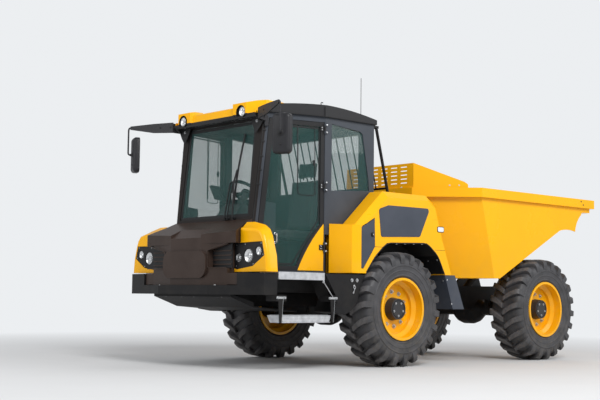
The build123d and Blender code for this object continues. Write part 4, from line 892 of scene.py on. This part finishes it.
def mirror_joint(mesh, centre, side):
    """Ball joint and screw on the head's back, and two screws on the arm's front."""
    back = mirror_axes(side)[1]
    lathe(mesh, [(0.0, 0.032), (0.004, 0.031), (0.008, 0.024), (0.009, 0.015), (0.026, 0.013), (0.030, 0.0)],
          centre + back * 0.031, back, 28)
    stud(mesh, centre + back * 0.0325 + UP * -0.105, back, 0.012)
    along, front = Vector((0.346, side * 0.938, 0)), Vector((0.938, side * -0.346, 0))
    for run in (0.030, 0.160):
        stud(mesh, at(ARM_KNEE[0], side * ARM_KNEE[1], 2.470) + along * run + front * 0.014, front, 0.010)


def add_mirrors():
    """Both mirrors: shells and arms in one piece, faces and joints on their own."""
    shells = bmesh.new()
    for side_name, side in SIDES.items():
        across, back = mirror_axes(side)
        centre = at(MIRROR_AT[0], side * MIRROR_AT[1], MIRROR_AT[2])
        mirror_head(shells, centre, side)
        mirror_arm(shells, side)
        face = bmesh.new()
        plate(face, rectangle(0.078, 0.172), centre - back * 0.0325, across, UP, side * -0.0025, 0.03)
        finished(face, f"mirror_face_{side_name}", silvered)
        joint = bmesh.new()
        mirror_joint(joint, centre, side)
        finished(joint, f"mirror_joint_{side_name}", black_plastic)
    piece = finished(shells, "mirror_shells", mirror_shell, bevel=0.002)
    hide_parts("mirrors")


add_mirrors()


# Visor: black ears that hang down to the cab's posts; distance from the middle and height over their foot
EAR_OUTLINE = [(0.480, 0.212), (0.514, 0.100), (0.561, 0.004), (0.588, 0.000), (0.634, 0.051), (0.688, 0.131),
               (0.712, 0.212)]
EAR_FOOT = 2.290
EAR_BOLT = (0.585, 2.404)


def add_visor_ears():
    """Ears, the distance pieces behind them and a bolt each."""
    ears, bolts = bmesh.new(), bmesh.new()
    across, height = EAR_BOLT
    for side in SIDES.values():
        plate(ears, EAR_OUTLINE, screen_place(0, EAR_FOOT, 0.024), (0, side, 0), SCREEN_UP, side * 0.006)
        rod(ears, screen_place(side * across, height, -0.001), screen_place(side * across, height, 0.026),
            0.012, 14)
        bolt(bolts, screen_place(side * across, height, 0.030), SCREEN_OUT, 0.011)
    finished(ears, "visor_ears", black_plastic, bevel=0.0015)
    finished(bolts, "visor_ear_bolts", zinc)


add_visor_ears()


# Fenders: line of the arch's trim, and the screws round the wheel
ARCH = [(0.482, 0.950), (0.348, 1.119), (0.182, 1.254), (-0.435, 1.275), (-0.608, 1.151), (-0.718, 0.955)]
FENDER_SCREWS = [
    (stud, 0.011, (0, 0, -1), [(0.150, 1.045, 1.2465), (0.012, 1.045, 1.2515), (-0.115, 1.045, 1.2560),
                               (-0.250, 1.045, 1.2605), (-0.380, 1.045, 1.2650)]),
    (bolt, 0.009, (0.93, 0, 0.34), [(-0.7530, 0.887, 0.883), (-0.7510, 1.018, 0.889)]),
    (stud, 0.011, (0.86, 0, -0.5), [(-0.624, 0.916, 1.100), (-0.624, 1.045, 1.104)]),
    (stud, 0.009, (0, 1, 0), [(-0.766, 1.065, 0.896), (-0.842, 1.065, 0.640)]),
]
HATCH_LOCK = (0.397, 1.330)


def add_fender_details(side_name, side):
    """Trim and screws of one fender, and the lock of its hatch."""
    trim = bmesh.new()
    pipe(trim, [at(x, side * 1.0705, z) for x, z in ARCH], 0.0055, 0.07)
    finished(trim, f"arch_trim_{side_name}", black_rubber)
    screws = bmesh.new()
    fasten(screws, FENDER_SCREWS, side)
    finished(screws, f"arch_screws_{side_name}", zinc)
    lock_x, lock_z = HATCH_LOCK
    out = (0, side, 0)
    catch = bmesh.new()
    lathe(catch, [(0.0, 0.024), (0.004, 0.023), (0.005, 0.016), (0.012, 0.015), (0.014, 0.010), (0.0145, 0.0)],
          at(lock_x, side * 1.072, lock_z), out, 24)
    finished(catch, f"hatch_catch_{side_name}", black_plastic, f"hatch_{side_name}")
    key = bmesh.new()
    stud(key, at(lock_x, side * 1.0862, lock_z), out, 0.007)
    finished(key, f"hatch_key_{side_name}", zinc, f"hatch_{side_name}")


for side_name, side in SIDES.items():
    add_fender_details(side_name, side)


# Lower step: stations of its straps, low and high edges of its rails, and the rungs' first station and pitch
STRAPS = (0.975, 1.640)
STEP_RAILS = [(0.4555, 0.4635), (0.5165, 0.5245)]
RUNG_START, RUNG_PITCH, RUNG_COUNT = 1.030, 0.047, 13

# Sill: its first stud, and the pitch and count of studs along and across
SILL_START = (1.085, 0.850, 0.929)
SILL_PITCH, SILL_COUNT = (0.032, 0.046), (18, 5)


def add_step():
    """Lower step on the left: edges and brackets of its straps, a stay, and rails and rungs of the tread."""
    bright = bmesh.new()
    for station in STRAPS:
        rod(bright, at(station - 0.029, 1.1050, 0.700), at(station - 0.011, 1.1050, 0.458), 0.0022, 6)
        plate(bright, [(-0.058, 0.0), (0.058, 0.0), (0.058, 0.020), (-0.058, 0.020)],
              at(station, 1.1065, 0.678), (-1, 0, 0), UP, 0.004)
        for shift in (-0.040, 0.040):
            bolt(bright, at(station + shift, 1.1105, 0.688), (0, 1, 0), 0.0085)
    rod(bright, at(1.069, 1.0725, 0.845), at(0.975, 1.1085, 0.695), 0.0045, 8)
    bolt(bright, at(1.069, 1.070, 0.845), (0, 1, 0), 0.010)
    finished(bright, "step_brackets", zinc)
    rails = bmesh.new()
    for low, high in STEP_RAILS:
        block(rails, at(1.00, 1.0940, low), at(1.62, 1.0970, high))
    for count in range(RUNG_COUNT):
        start = RUNG_START + RUNG_PITCH * count
        block(rails, at(start, 0.9045, 0.5255), at(start + 0.012, 1.0935, 0.5300))
    finished(rails, "step_grating", tread, bevel=0.0012)


add_step()


def add_sill_studs():
    """Pressed rounds on top of the bright sills."""
    station, across, height = SILL_START
    for side_name, side in SIDES.items():
        studs = bmesh.new()
        for column in range(SILL_COUNT[0]):
            for row in range(SILL_COUNT[1]):
                place = at(station + SILL_PITCH[0] * column, side * (across + SILL_PITCH[1] * row), height)
                rod(studs, place - UP * 0.001, place + UP * 0.003, 0.011, 8, 0.007)
        finished(studs, f"sill_studs_{side_name}", tread)


add_sill_studs()

# Left skirt above the step's rear end
SKIRT_FACE = 1.070
SKIRT_SCREWS = [
    (bolt, 0.0125, (0, 1, 0), [(0.612, SKIRT_FACE, 0.867), (0.683, SKIRT_FACE, 0.867)]),
    (stud, 0.011, (0, 1, 0), [(0.660, SKIRT_FACE, 0.744), (0.653, SKIRT_FACE, 0.811)]),
]


def add_skirt_hook():
    """Two bolts and a ringed pin."""
    hook = bmesh.new()
    fasten(hook, SKIRT_SCREWS)
    ring = at(0.653, SKIRT_FACE + 0.008, 0.797)
    pipe(hook, arc(ring, FORWARD, UP, 0.014, 0, 360, 12), 0.0040, 0.003, 8)
    rod(hook, ring - UP * 0.014, at(0.660, SKIRT_FACE + 0.006, 0.748), 0.0045)
    finished(hook, "skirt_hook", zinc)


add_skirt_hook()

# Nose: screws on the bumper and its belly, screws of the lamp panels, and the lip round an intake
BUMPER_SCREWS = [
    (stud, 0.010, (0, 0, 1), [(1.9380, across, 0.8000) for across in (-0.402, 0.493)]),
    (stud, 0.011, (0.2, 0, -1), [(1.8350, across, 0.6905) for across in (-0.430, -0.164, 0.032, 0.474)]),
]
LAMP_PANEL_SCREWS = [
    (stud, 0.0055, (1, 0, 0), [(1.7943, across, height) for across, height in
                               [(0.634, 0.982), (0.636, 1.180), (0.760, 1.185), (0.990, 1.190), (1.020, 1.085),
                                (0.880, 0.998)]]),
]
INTAKE = [(0.640, 0.964), (0.356, 0.964), (0.344, 1.131), (0.640, 1.198)]
SLAT_FOOT, SLAT_PITCH, SLAT_COUNT = 0.992, 0.043, 4
COWL_FOOT = [(1.790, 0.590), (1.8790, 0.590), (1.8680, 0.742), (1.790, 0.742)]


def add_nose_details():
    """Screws, intakes with their slats, and the feet of the cowl."""
    screws, lips, foot = bmesh.new(), bmesh.new(), bmesh.new()
    fasten(screws, BUMPER_SCREWS)
    for side in SIDES.values():
        fasten(screws, LAMP_PANEL_SCREWS, side)
        pipe(lips, [at(1.9255, side * across, height) for across, height in INTAKE], 0.0045, 0.03, 8)
        for count in range(SLAT_COUNT):
            height = SLAT_FOOT + SLAT_PITCH * count
            block(lips, at(1.8525, side * 0.362, height), at(1.8600, side * 0.630, height + 0.012))
        plate(foot, [(x, side * y) for x, y in COWL_FOOT], at(0, 0, 0.804), (1, 0, 0), (0, 1, 0), 0.1125)
    finished(screws, "nose_screws", zinc)
    finished(lips, "intake_lips", cowl_dark, bevel=0.0015)
    finished(foot, "cowl_foot", cowl_dark, bevel=0.003)


add_nose_details()

# Outlines of a corner fender at its front face, behind its rounded edge and at its rear: half width and height
FENDER_SECTIONS = [
    (1.800, [(0.612, 0.9275), (1.066, 0.9275), (1.050, 1.078), (1.014, 1.206), (0.992, 1.255), (0.955, 1.290),
             (0.895, 1.303), (0.769, 1.310), (0.702, 1.313)]),
    (1.762, [(0.612, 0.9275), (1.098, 0.9275), (1.083, 1.078), (1.045, 1.206), (1.022, 1.266), (0.982, 1.315),
             (0.905, 1.335), (0.769, 1.346), (0.682, 1.349)]),
    (1.685, [(0.612, 0.9275), (1.104, 0.9275), (1.088, 1.078), (1.050, 1.196), (1.030, 1.260), (0.992, 1.325),
             (0.925, 1.368), (0.770, 1.402), (0.650, 1.404)]),
]

# Station and edge of the lamp panel's pocket in it, and how many rings round its front edge off
POCKET_BACK = 1.690
POCKET = [(0.612, 1.200), (1.0115, 1.2075), (1.0445, 1.078), (0.8805, 0.9795), (0.640, 0.9485), (0.612, 0.9585)]
EDGE_STEPS = 5


def fender_rings():
    """Closed sections from the front face back: the first two are joined by a quarter round."""
    (front_x, front), (middle_x, middle), rear = FENDER_SECTIONS
    rings = []
    for step in range(EDGE_STEPS + 1):
        turn = math.radians(90) * step / EDGE_STEPS
        share = math.sin(turn)
        rings.append((front_x + (middle_x - front_x) * (1 - math.cos(turn)),
                      [(y + (wide - y) * share, z + (tall - z) * share)
                       for (y, z), (wide, tall) in zip(front, middle)]))
    return [(station, outline + [(outline[-1][0], 1.200)] + POCKET) for station, outline in [*rings, rear]]


def add_corner_fenders():
    """Rounded corner fenders that lean inward, in place of the plain ones."""
    mesh = bmesh.new()
    rings = fender_rings()
    rows, columns = len(rings) - 1, len(rings[0][1])
    for side in SIDES.values():
        skin = bmesh.new()
        bmesh.ops.create_grid(skin, x_segments=rows, y_segments=columns, size=1)
        for vert in skin.verts:
            station, outline = rings[round((vert.co.x + 1) / 2 * rows)]
            across, height = outline[round((vert.co.y + 1) / 2 * columns) % columns]
            vert.co = at(station, side * across, height)
        bmesh.ops.remove_doubles(skin, verts=skin.verts, dist=1e-6)
        bmesh.ops.holes_fill(skin, edges=[edge for edge in skin.edges if edge.is_boundary])
        absorb(mesh, skin)
        plate(mesh, mirrored(POCKET, side), at(POCKET_BACK, 0, 0), (0, 1, 0), UP, 0.078)
    piece = finished(mesh, "corner_fender_shells", amber, bevel=0.0015)
    data = piece.data
    for polygon in data.polygons:
        if len(polygon.vertices) > 8:
            for corner in polygon.loop_indices:
                data.edges[data.loops[corner].edge_index].use_edge_sharp = True
    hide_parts("corner_fenders")


add_corner_fenders()


# Skip: bolts on top of its rock guard, start and direction of the guard's leaning ends, and places of the rear
# rim's openings, drawn as black discs for the shade inside them
GUARD_BOLTS = [(bolt, 0.011, (0, 0, 1), [(-0.812, across, 1.9363) for across in (-0.44, -0.20, 0.12, 0.357)])]
GUARD_END = (-0.830, 0.520, 1.958)
GUARD_LEAN = Vector((-0.51, 0.54, 0)).normalized()
RIM_HOLES = [(-3.255, 1.902), (-3.300, 1.862)]


def add_skip_details():
    """Bolts of the rock guard, and black discs on the rim that stand in for the shade inside its openings."""
    screws, hole_shade = bmesh.new(), bmesh.new()
    fasten(screws, GUARD_BOLTS)
    for side in SIDES.values():
        along = Vector((GUARD_LEAN.x, side * GUARD_LEAN.y, 0))
        out = Vector((GUARD_LEAN.y, side * -GUARD_LEAN.x, 0))
        for run in (0.405, 0.510):
            place = at(GUARD_END[0], side * GUARD_END[1], GUARD_END[2]) + along * run
            bolt(screws, place + out * 0.0005, out, 0.010)
        for x, z in RIM_HOLES:
            # Painted shade: thin black discs where the rim's openings are.
            rod(hole_shade, at(x, side * 1.1015, z), at(x, side * 1.1024, z), 0.011, 14)
    finished(screws, "guard_bolts", zinc, "skip")
    finished(hole_shade, "skip_rim_hole_shade", black_plastic, "skip")


add_skip_details()


# Roof: centre and radius of a lifting ring, and half the line of a black strip under the roof's edge that stands
# in for its shadow
RING_AT, RING_R = (0.855, 0.800, 2.632), 0.016
ROOF_SHADOW_LINE = [(1.488, 0.660), (0.832, 0.8425), (0.100, 0.8425)]


def add_roof_details():
    """Lifting rings with their feet and side clips, and a black strip under the roof's edge as painted shadow."""
    rings = bmesh.new()
    station, across, height = RING_AT
    turns = [math.radians(-60 + 300 / 8 * count) for count in range(9)]
    for side in SIDES.values():
        pipe(rings, [at(station + RING_R * math.sin(turn), side * across, height - RING_R * math.cos(turn))
                     for turn in turns], 0.0045, 0.004, 8)
        block(rings, at(0.838, side * 0.780, 2.612), at(0.872, side * 0.820, 2.6195))
        block(rings, at(0.826, side * 0.8418, 2.502), at(0.850, side * 0.8450, 2.606))
    finished(rings, "roof_loops", black_plastic, bevel=0.001)
    # Painted shadow: a black rubber strip along the foot of the roof's edge.
    shadow_strip = bmesh.new()
    line = ROOF_SHADOW_LINE + [(x, -y) for x, y in reversed(ROOF_SHADOW_LINE)]
    pipe(shadow_strip, [at(x, y, 2.5015) for x, y in line], 0.0050, 0.02, 8)
    finished(shadow_strip, "roof_shadow_strip", black_rubber)


add_roof_details()


# Seat: cushions that are swollen by a cloth run, on a plain shell
CLOTH_STEPS, CLOTH_PRESSURE = 20, 4.0
VOXEL, QUICK_VOXEL = 0.006, 0.009
SEAM_WIDTH, SEAM_DEPTH = 0.012, 0.008
EDGE_WIDTH, EDGE_TUCK = 0.010, 0.020
BACK_LEAN = Matrix.Rotation(-math.atan(0.14), 4, "Y")
BACK_FOOT = (0.330, 0, 1.400)


def settle(piece):
    """Applies the modifiers of a piece to its mesh."""
    bpy.context.view_layer.update()
    evaluated = piece.evaluated_get(bpy.context.evaluated_depsgraph_get())
    data = bpy.data.meshes.new_from_object(evaluated)
    old = piece.data
    piece.modifiers.clear()
    piece.data = data
    bpy.data.meshes.remove(old)
    for polygon in data.polygons:
        polygon.use_smooth = True


def swollen(piece, most):
    """Blows a piece up from inside; no point moves further than the most."""
    rest = [vert.co.copy() for vert in piece.data.vertices]
    cloth = piece.modifiers.new("cloth", "CLOTH")
    cloth.settings.use_pressure = True
    cloth.settings.uniform_pressure_force = CLOTH_PRESSURE
    cloth.settings.effector_weights.gravity = 0
    for number in range(1, CLOTH_STEPS + 1):
        bpy.context.scene.frame_set(number)
    settle(piece)
    bpy.context.scene.frame_set(1)
    for vert, place in zip(piece.data.vertices, rest):
        move = vert.co - place
        if move.length > most:
            vert.co = place + move.normalized() * most


def sewn(piece, size, back, seams):
    """Pinches seams into both faces and tucks the edge in; back takes the cushion's own axes to the vehicle's."""
    inverse = back.inverted()
    for vert in piece.data.vertices:
        local = inverse @ vert.co
        for seam in seams:
            pinch = max(0.0, 1 - abs(abs(local.x) - seam) / SEAM_WIDTH)
            local.z -= SEAM_DEPTH * pinch * pinch * (1 if local.z > 0 else -1)
        if max(abs(local.x) / (size[0] / 2), abs(local.y) / (size[1] / 2)) > 0.9:
            shrink = 1 - EDGE_TUCK * max(0.0, 1 - abs(local.z) / EDGE_WIDTH)
            local.x *= shrink
            local.y *= shrink
        vert.co = back @ local


def pillow(name, size, centre, turn, swell, seams):
    """Sewn cushion: a rounded block that swells under pressure, then gets its seams."""
    mesh = bmesh.new()
    cuboid(mesh, centre, size, turn)
    bmesh.ops.bevel(mesh, geom=mesh.edges[:], offset=min(size) * 0.3, segments=3, profile=0.5, affect="EDGES",
                    material=-1)
    piece = finished(mesh, name, cloth_grey, sharp=180)
    remesh = piece.modifiers.new("even", "REMESH")
    remesh.mode = "VOXEL"
    remesh.voxel_size = VOXEL
    settle(piece)
    swollen(piece, swell)
    sewn(piece, size, Matrix.Translation(centre) @ turn, seams)
    smooth = piece.modifiers.new("soft", "SUBSURF")
    smooth.levels = 1
    smooth.render_levels = 1
    return piece


def back_place(up, out):
    """Point in the middle of the backrest, so far up it and in front of its rear face."""
    face = Vector((1, 0, 0.14)).normalized()
    rise = Vector((-0.14, 0, 1)).normalized()
    return at(*BACK_FOOT) + rise * up + face * out


def add_seat():
    """Three cushions and the shell that carries them."""
    bottom = pillow("seat_cushion", (0.470, 0.440, 0.085), at(0.575, 0, 1.338), Matrix(), 0.014, (0.150,))
    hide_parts("seat")
    upright = BACK_LEAN @ Matrix.Rotation(math.radians(90), 4, "Y") @ Matrix.Rotation(math.radians(90), 4, "Z")
    pillow("seat_back_cushion", (0.420, 0.560, 0.070), back_place(0.270, 0.062), upright, 0.014, (0.135,))
    pillow("head_cushion", (0.250, 0.165, 0.060), back_place(0.660, 0.062), upright, 0.012, ())
    shell = bmesh.new()
    block(shell, at(0.345, -0.225, 1.2605), at(0.800, 0.225, 1.296))
    for side in SIDES.values():
        aside = Vector((0, side * 0.060, 0))
        rod(shell, back_place(0.560, 0.055) + aside, back_place(0.600, 0.055) + aside, 0.008)
    cuboid(shell, back_place(0.265, 0.010), (0.016, 0.440, 0.560), BACK_LEAN)
    finished(shell, "seat_shell", black_plastic, bevel=0.006)


add_seat()


# Cab inside: side panels of the dash, steering wheel, display and levers
DASH_PANEL = [(0.520, 1.00), (0.700, 1.00), (0.700, 1.44), (0.690, 1.625), (0.520, 1.615)]
STEERING_AT = (1.160, 0, 1.745)
STEERING_LEAN = Vector((-0.6, 0, 0.8))
STEERING_RISE = Vector((0.8, 0, 0.6))
GRIP_R = 0.187
LEVERS = [(0.850, -0.365), (0.790, -0.365)]


def add_cab_inside():
    """What shows through the glass beside the seat."""
    panels = bmesh.new()
    for side in SIDES.values():
        door_plate(panels, DASH_PANEL, door_place(0, 0, -0.062, side), side, -0.012, 0.015)
    finished(panels, "dash_side_panels", cab_grey, bevel=0.004)
    wheel = bmesh.new()
    top = at(*STEERING_AT)
    grip = arc(top + STEERING_LEAN * 0.012, Vector((0, 1, 0)), STEERING_RISE, GRIP_R, 0, 360, 32)
    pipe(wheel, grip, 0.0150, 0.004, 12)
    lathe(wheel, [(0.0, 0.062), (0.026, 0.060), (0.034, 0.050), (0.037, 0.0)], top, STEERING_LEAN)
    finished(wheel, "steering_wheel_grip", black_plastic)
    display = bmesh.new()
    cuboid(display, at(1.330, -0.250, 1.760), (0.16, 0.22, 0.030), aim(Vector((-0.75, 0.15, 0.45)).normalized()))
    rod(display, at(1.330, -0.235, 1.745), at(1.300, -0.120, 1.620), 0.014)
    finished(display, "display_case", black_plastic, bevel=0.006)
    levers = bmesh.new()
    for x, y in LEVERS:
        rod(levers, at(x, y, 1.520), at(x - 0.020, y, 1.660), 0.006)
        lathe(levers, [(-0.030, 0.0), (-0.026, 0.016), (0.010, 0.022), (0.028, 0.016), (0.032, 0.0)],
              at(x - 0.020, y, 1.670), (-0.1, 0, 1), 20)
    finished(levers, "console_levers", black_plastic)


add_cab_inside()


# Floor and world
BACKDROP = rgb(0.84, 0.86, 0.88)
SKY = rgb(0.86, 0.88, 0.91)
SKY_STRENGTH = 0.55
FADE_START, FADE_END = 3.6, 9.5


def add_floor():
    """Pale floor that fades into the backdrop's colour."""
    mesh = bmesh.new()
    bmesh.ops.create_grid(mesh, x_segments=1, y_segments=1, size=300)
    data = bpy.data.meshes.new("floor")
    mesh.to_mesh(data)
    mesh.free()
    floor = in_scene("floor", data)
    paint = Paint("floor_paint")
    paint.set(Base_Color=paint.mix(paint.noise(1.5, 4.0), rgb(0.60, 0.60, 0.60), rgb(0.64, 0.64, 0.64)),
              Roughness=0.9)
    reach = distance(paint.axis("X") + 0.3, paint.axis("Y"))
    glow = paint.add("ShaderNodeEmission", {}, {"Color": BACKDROP})
    surface = Value(paint, paint.shader.outputs[0])
    fade = paint.add("ShaderNodeMixShader", {}, [reach.ramp(FADE_START, FADE_END), surface, glow])
    paint.feed(paint.tree.nodes["Material Output"].inputs["Surface"], fade)
    data.materials.append(paint.material)


def add_world():
    """Soft sky for light and reflections, and the plain backdrop where the camera sees past the floor."""
    world = bpy.data.worlds.new("studio")
    bpy.context.scene.world = world
    world.use_nodes = True
    tree = world.node_tree
    sky = tree.nodes["Background"]
    sky.inputs["Color"].default_value = SKY
    sky.inputs["Strength"].default_value = SKY_STRENGTH
    seen = tree.nodes.new("ShaderNodeBackground")
    seen.inputs["Color"].default_value = BACKDROP
    path = tree.nodes.new("ShaderNodeLightPath")
    direct = tree.nodes.new("ShaderNodeMath")
    direct.operation = "MAXIMUM"
    both = tree.nodes.new("ShaderNodeMixShader")
    for output, socket in [(path.outputs["Is Camera Ray"], direct.inputs[0]),
                           (path.outputs["Is Transmission Ray"], direct.inputs[1]),
                           (direct.outputs[0], both.inputs[0]), (sky.outputs[0], both.inputs[1]),
                           (seen.outputs[0], both.inputs[2]),
                           (both.outputs[0], tree.nodes["World Output"].inputs["Surface"])]:
        tree.links.new(output, socket)


add_floor()
add_world()
